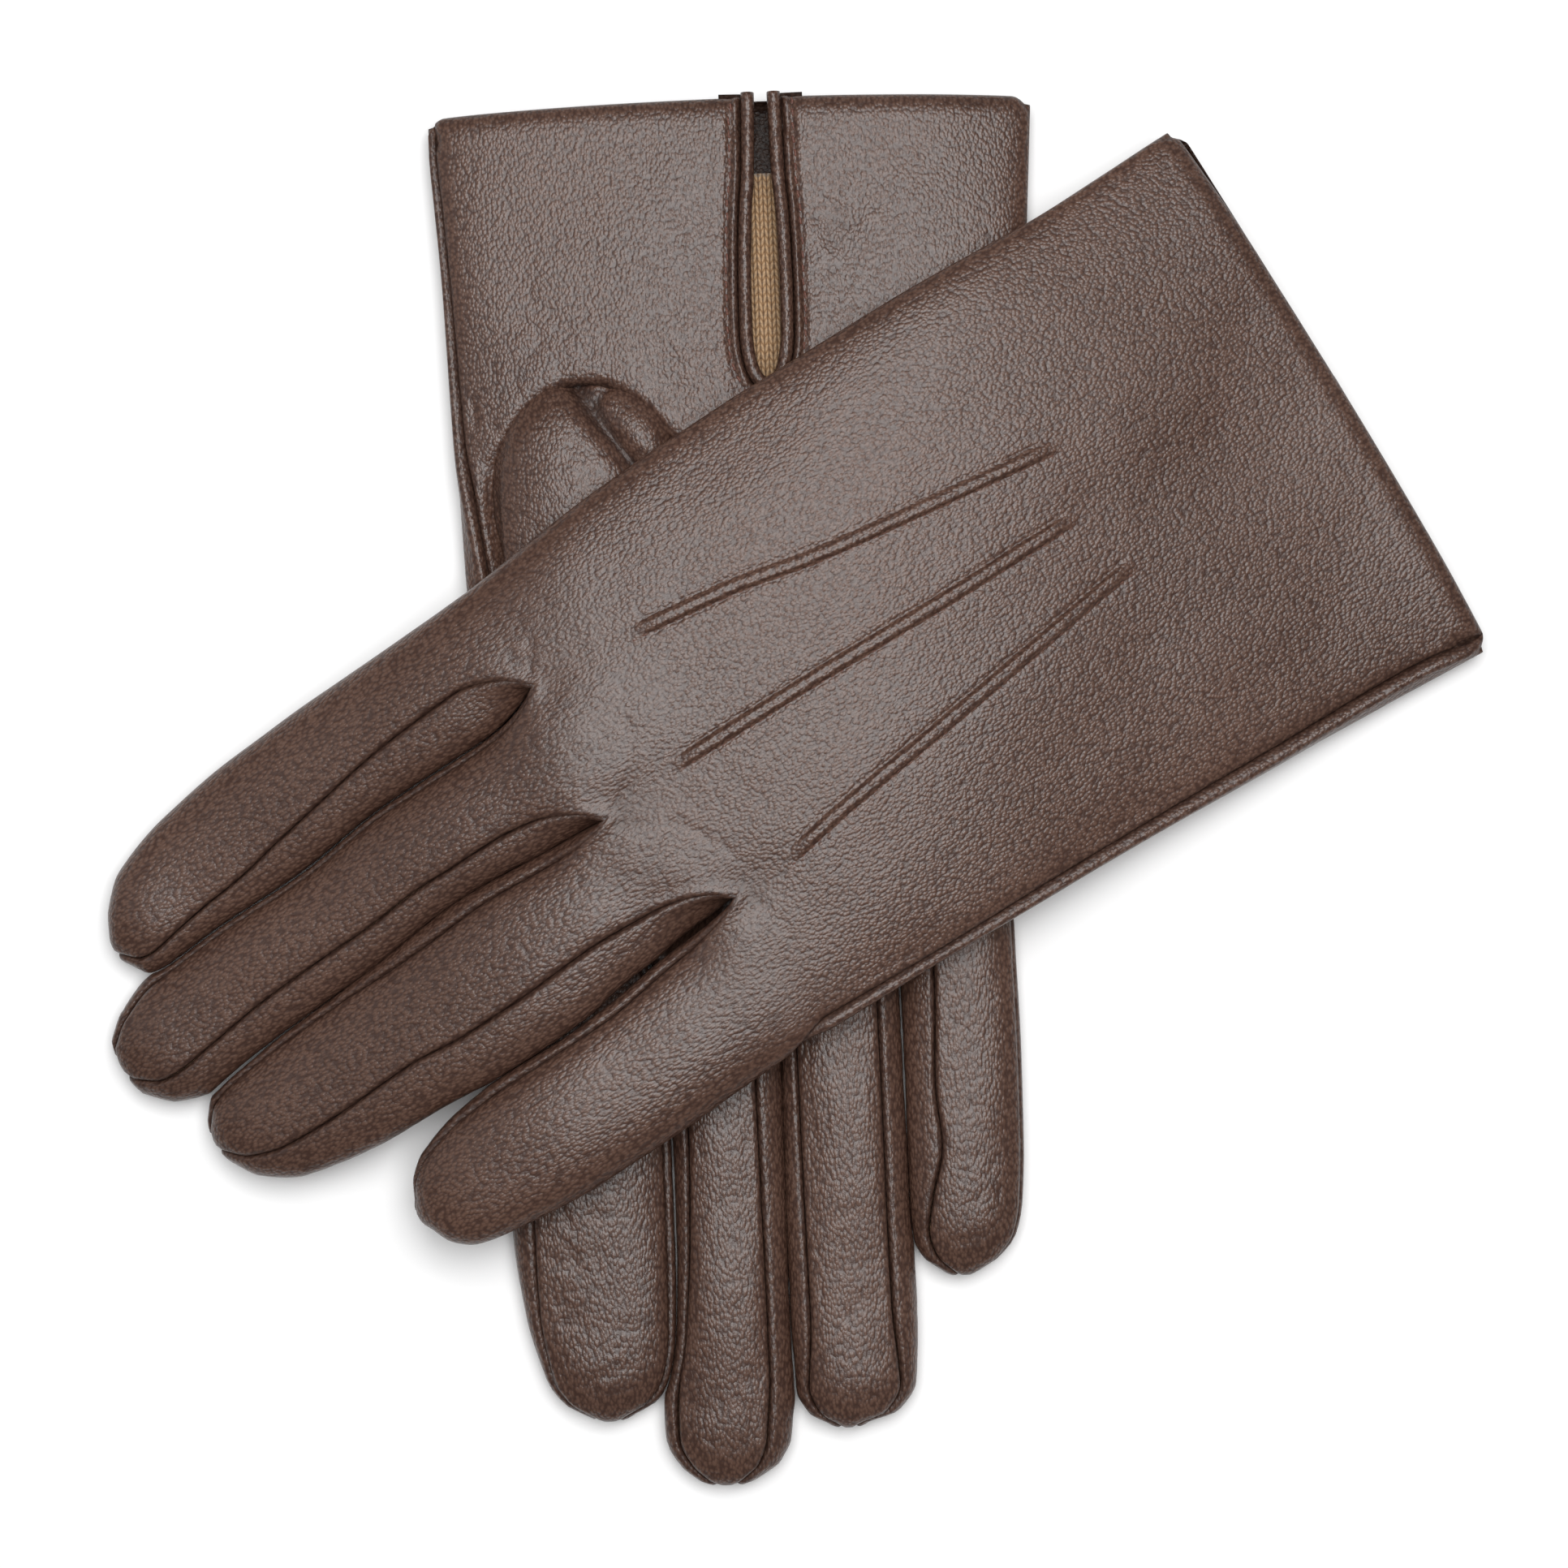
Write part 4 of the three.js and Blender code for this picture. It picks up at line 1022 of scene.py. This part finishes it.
def build_panels(glove):
    """The back and palm panels. Returns the points that the stitches lie on."""
    surfaces = {}
    for face, name in ((BACK, "back_panel"), (PALM, "palm_panel")):
        seen = glove["up"] == face
        step = (STEP_BACK if face == BACK else STEP_PALM) if seen else STEP_HIDDEN
        sheet = Sheet(glove)
        add_face(sheet, face, step, step * 1.6, fine_vent=face == PALM and seen)
        if face == PALM:
            cut_hole(sheet, vent_outline(PIPING))
            cut_hole(sheet, thumb_outline())
        relief = back_relief(glove) if face == BACK else palm_relief(glove)
        surfaces[face] = shell_piece(sheet, name, "glove_leather", relief, LEATHER, cuff_roll=CUFF_ROLL)
    return surfaces


def build_fourchettes(glove):
    for crotch, between in enumerate(["index_middle", "middle_ring", "ring_little"]):
        sheet = Sheet(glove)
        add_fourchette(sheet, crotch, 0.9, STEP_PALM * 1.3)
        shell_piece(sheet, "fourchette_" + between, "glove_leather", plain_relief, LEATHER,
                    seam_roll=(1.2, 0.9))


def cut_palm(sheet, thickness, *outlines):
    """Cuts holes in the palm half only, then joins the two halves of a closed sleeve."""
    heights = sheet.local[sheet.quads][:, :, 2].mean(axis=1)
    palm = (heights > thickness / 2) == (sheet.glove["up"] == PALM)
    half = Sheet(sheet.glove)
    half.local, half.quads = sheet.local, sheet.quads[palm]
    for outline in outlines:
        cut_hole(half, outline)
    sheet.quads = np.vstack([sheet.quads[~palm], half.quads])
    sheet.merge()


def build_lining(glove):
    sheet = Sheet(glove)
    for face in (BACK, PALM):
        add_face(sheet, face, STEP_LINING, first_row=FACING_DEPTH - 2.0, draw_back=LINING_DRAW_BACK)
    for crotch in range(3):
        add_fourchette(sheet, crotch, STEP_LINING, draw_back=LINING_DRAW_BACK)
    cut_palm(sheet, HAND_THICKNESS, vent_outline(PIPING + 3.2), thumb_outline(1.2))
    shell_piece(sheet, "lining", "knit_lining", None, LINING, seam_roll=FINE_ROLL, depth=LINING_DEPTH)


def build_cuff_facing(glove):
    sheet = Sheet(glove)
    for face in (BACK, PALM):
        add_face(sheet, face, 1.6, 1.2, last_row=FACING_DEPTH)
    cut_palm(sheet, CUFF_THICKNESS, vent_outline(0.8))
    shell_piece(sheet, "cuff_facing", "facing_leather", None, FACING, seam_roll=FINE_ROLL,
                cuff_roll=(4.2, 2.0), depth=LEATHER + 0.12)


def swept_band(glove, name, profile, first_u, drop=None):
    """A closed band round the vent. profile is (distance from the opening, rise) pairs."""
    rings = []
    out = 1 if glove["up"] == PALM else -1
    base = vent_outline(0, first_u=first_u)
    normal = line_normals(base)
    for distance, rise in profile:
        u, v = (base + distance * normal).T
        h = hand_height(glove, PALM, np.maximum(u, 0), v) + out * (rise - (drop(u) if drop else 0))
        rings.append(place(glove, u, v, h))
    points = np.stack(rings, 1)
    count, sides = points.shape[:2]
    index = np.arange(count * sides).reshape(count, sides)
    around = np.hstack([index, index[:, :1]])
    a, b, c, d = around[:-1, :-1], around[1:, :-1], around[1:, 1:], around[:-1, 1:]
    quads = np.stack([a, b, c, d], -1).reshape(-1, 4)
    faces = [*quads.tolist(), index[0].tolist(), index[-1][::-1].tolist()]
    if out > 0:
        faces = [face[::-1] for face in faces]
    uv = np.repeat(base * 0.1, sides, axis=0)
    return make_object(name, points.reshape(-1, 3), faces, uv)


PIPING_PROFILE = [(0.0, -2.2), (-0.1, -1.0), (0.05, -0.1), (0.35, 0.4), (0.8, 0.68), (1.25, 0.72),
                  (1.7, 0.55), (2.1, 0.15), (2.35, -0.5), (2.35, -1.4), (1.2, -2.2)]
STRIP_PROFILE = [(0.3, -1.9), (0.3, -2.3), (6.4, -1.75), (6.4, -1.3), (3.0, -1.4)]


def build_vent(glove):
    name = glove["name"] + "_vent_piping"
    obj = swept_band(glove, name + "_leather", PIPING_PROFILE, -4.6)
    finish_piece(obj, glove, "glove_leather", name)
    name = glove["name"] + "_vent_facing"
    obj = swept_band(glove, name + "_leather", STRIP_PROFILE, -4.7, lambda u: rolled(u + 3.6, 4.2, 0.8))
    finish_piece(obj, glove, "facing_leather", name)


# The thumb's cross-sections from its root to its tip.
THUMB_V = [28.5, 28.5, 28.5, 28.3, 28, 27.6, 27.2, 26.9, 26.7, 26.6]
THUMB_OUTER = [(46.2, -2.3), (49.8, -0.2), (56, 1.2), (73, 1.6), (95, 1.5), (118, 1.5), (138, 1.4),
               (147.5, 0.4), (150.5, -0.5), (151.6, -1.0)]
THUMB_INNER = [(87.8, -4.4), (87.2, -4.1), (89, -3.9), (97, -3.8), (108, -3.8), (122, -3.8),
               (138.6, -3.7), (147.5, -2.7), (150.5, -1.9), (151.6, -1.3)]
THUMB_HALF = [17.6, 16.3, 16, 15.8, 15, 14.2, 12.6, 9, 5, 0.6]
THUMB_SEAM = [(48, 29.6), (52.5, 27.3), (56, 25), (64, 19.4), (74, 14.5)]
THUMB_SEAM_DEPTH = 1.7
THUMB_TUCK = [(47.6, 23.4), (50, 25.4), (53, 27)]


def thumb_sheet(glove, sides, stations, last):
    sheet = Sheet(glove)
    k = last * (1 - np.linspace(1, 0, stations) ** 1.15)
    tables = [*zip(*THUMB_OUTER), *zip(*THUMB_INNER), THUMB_V, THUMB_HALF]
    columns = [curve(list(enumerate(values)))(k)[:, None] for values in tables]
    outer_u, outer_h, inner_u, inner_h, middle_v, half = columns
    angle = np.linspace(0, 2 * np.pi, sides + 1)[None, :-1]
    across = signed_power(np.cos(angle), 2 / FINGER_POWER)
    out = signed_power(np.sin(angle), 2 / FINGER_POWER)
    u = (outer_u + inner_u) / 2 + (outer_u - inner_u) / 2 * out
    height = (outer_h + inner_h) / 2 + (outer_h - inner_h) / 2 * out
    h = HAND_THICKNESS + height if glove["up"] == PALM else -height
    index = sheet.add_points(u, middle_v + half * across, h)
    sheet.add_quads(np.hstack([index, index[:, :1]]), glove["up"] == BACK)
    return sheet


def thumb_relief(glove):
    seam = smooth_line(THUMB_SEAM, 0.5)
    tuck = smooth_line(THUMB_TUCK, 0.5)

    def relief(local, distance, facing):
        u, v, h = local.T
        on_top = (h > HAND_THICKNESS - 2.6) if glove["up"] == PALM else (h < 2.6)
        from_seam, from_tuck = line_distance(u, v, seam, 8), line_distance(u, v, tuck, 6)
        field = -1.3 * np.exp(-from_seam / 0.9) - 1.2 * np.exp(-(from_seam / 2.6) ** 2)
        field -= 1.1 * np.exp(-from_tuck / 0.6)
        field += 1.2 * bump(u, v, 66, 32, 13, 9) + 1.2 * bump(u, v, 58, 17.5, 9, 6)
        wrinkled = bump(u, v, 66, 32, 16, 11)
        field -= 0.35 * wrinkled * creases(u / 2.2 + v / 30 + 3, v / 9)
        return np.maximum(np.where(on_top, field, 0) + 0.4 * soft_waves(u, v, 2), -THUMB_SEAM_DEPTH)
    return relief


def build_thumb(glove):
    shell_piece(thumb_sheet(glove, 140, 170, 9), "thumb", "glove_leather", thumb_relief(glove), LEATHER,
                seam_roll=(0.5, 0.2))
    shell_piece(thumb_sheet(glove, 36, 40, 8), "thumb_lining", "knit_lining", None, THUMB_LINING,
                seam_roll=FINE_ROLL, depth=THUMB_SEAM_DEPTH + LEATHER)


def stitch_row(glove, name, line, surface, pitch, length, radius, lift, slant=0.0):
    """A row of short threads that lie on a leather surface along a line in (u, v)."""
    tree = KDTree(len(surface["local"]))
    for i, (u, v, _) in enumerate(surface["local"]):
        tree.insert((u, v, 0), i)
    tree.balance()
    spots = np.arange(pitch / 2, line_lengths(line)[-1], pitch)
    ring = np.linspace(0, 2 * np.pi, 8)[:-1]
    stations = np.linspace(-1, 1, 7)
    girth = np.sqrt(np.maximum(0.06, 1 - stations ** 4))
    points, faces = [], []
    for here, ahead in zip(points_at(line, spots), points_at(line, spots + 0.5)):
        _, i, _ = tree.find((*here, 0))
        normal = surface["normals"][i]
        centre = surface["outer"][i] + normal * lift
        along = place(glove, *ahead, 0.0) - place(glove, *here, 0.0)
        along = along - normal * (along @ normal)
        along /= np.linalg.norm(along)
        side = np.cross(normal, along)
        along = along * math.cos(slant) + side * math.sin(slant)
        side = np.cross(normal, along)
        start = len(points)
        for station, wide in zip(stations, girth):
            sag = 0.30 * station ** 4
            for angle in ring:
                points.append(centre + along * station * length / 2 - normal * sag
                              + (side * math.cos(angle) + normal * 0.8 * math.sin(angle)) * radius * wide)
        count = len(ring)
        for k in range(len(stations) - 1):
            for m in range(count):
                a, b = start + k * count + m, start + k * count + (m + 1) % count
                faces.append([a, b, b + count, a + count])
        faces.append(list(range(start, start + count))[::-1])
        faces.append(list(range(len(points) - count, len(points))))
    return make_object(name, np.array(points), faces)


RIDGE_TO_THREAD = 1.4


def build_threads(glove, surfaces):
    for name, stations in POINTS[glove["name"]].items():
        line = smooth_line(stations, 0.5) + np.array([0, -RIDGE_TO_THREAD])
        node = f"{glove['name']}_point_thread_{name}"
        obj = stitch_row(glove, node + "_stitches", line, surfaces[BACK], 2.1, 1.3, 0.11, -0.02)
        finish_piece(obj, glove, "thread", node)
    line = vent_outline(PIPING + STITCH_INSET, first_u=-2.6)
    obj = stitch_row(glove, glove["name"] + "_vent_stitches", line, surfaces[PALM], STITCH_PITCH, 1.8,
                     0.24, 0.05, slant=0.12)
    finish_piece(obj, glove, "thread")


for glove in (RIGHT, LEFT):
    leather_surfaces = build_panels(glove)
    build_fourchettes(glove)
    build_thumb(glove)
    build_lining(glove)
    build_cuff_facing(glove)
    build_vent(glove)
    build_threads(glove, leather_surfaces)


# ---- studio ---------------------------------------------------------------------------
FLOOR_HALF = 3000.0
CAMERA_PLACE = (-0.0024, 0.0007, 0.803)


def build_floor():
    corners = FLOOR_HALF * np.array([[-1, -1, 0], [1, -1, 0], [1, 1, 0], [-1, 1, 0]])
    floor = make_object("floor", corners, [[0, 1, 2, 3]])
    n = Nodes("white_paper")
    tint = n.noise(n.object_place(), 3.0)
    white = n.ramp(tint, [(0.3, (0.9, 0.9, 0.9)), (0.7, (0.93, 0.93, 0.93))])
    n.connect(n.shader, {"Base Color": white, "Roughness": 0.9, "Specular IOR Level": 0.1})
    floor.data.materials.append(n.material)


def add_area_light(name, position, target, size, power, colour=(1, 1, 1)):
    light = bpy.data.lights.new(name, "AREA")
    light.shape = "RECTANGLE"
    light.size, light.size_y = size
    light.energy = power
    light.color = colour
    obj = bpy.data.objects.new(name, light)
    bpy.context.scene.collection.objects.link(obj)
    obj.location = position
    obj.rotation_euler = (Vector(target) - Vector(position)).to_track_quat("-Z", "Y").to_euler()


def build_lights():
    add_area_light("overhead_softbox", (0.06, 0.18, 1.15), (0, 0, 0), (0.75, 0.8), 16)
    add_area_light("left_strip", (-1.1, 0.2, 0.9), (0, 0, 0), (0.4, 1.2), 1.5, (0.95, 0.97, 1))
    world = bpy.data.worlds.new("studio")
    bpy.context.scene.world = world
    world.use_nodes = True
    background = world.node_tree.nodes["Background"]
    background.inputs["Color"].default_value = (1, 1, 1, 1)
    background.inputs["Strength"].default_value = 0.16


def build_camera():
    """Straight down, framing 284 mm across at the height of the gloves."""
    camera = bpy.data.cameras.new("camera")
    camera.lens = 100
    camera.sensor_width = 36
    obj = bpy.data.objects.new("camera", camera)
    bpy.context.scene.collection.objects.link(obj)
    obj.location = CAMERA_PLACE
    bpy.context.scene.camera = obj


build_floor()
build_lights()
build_camera()
bpy.context.scene.view_settings.view_transform = "Standard"
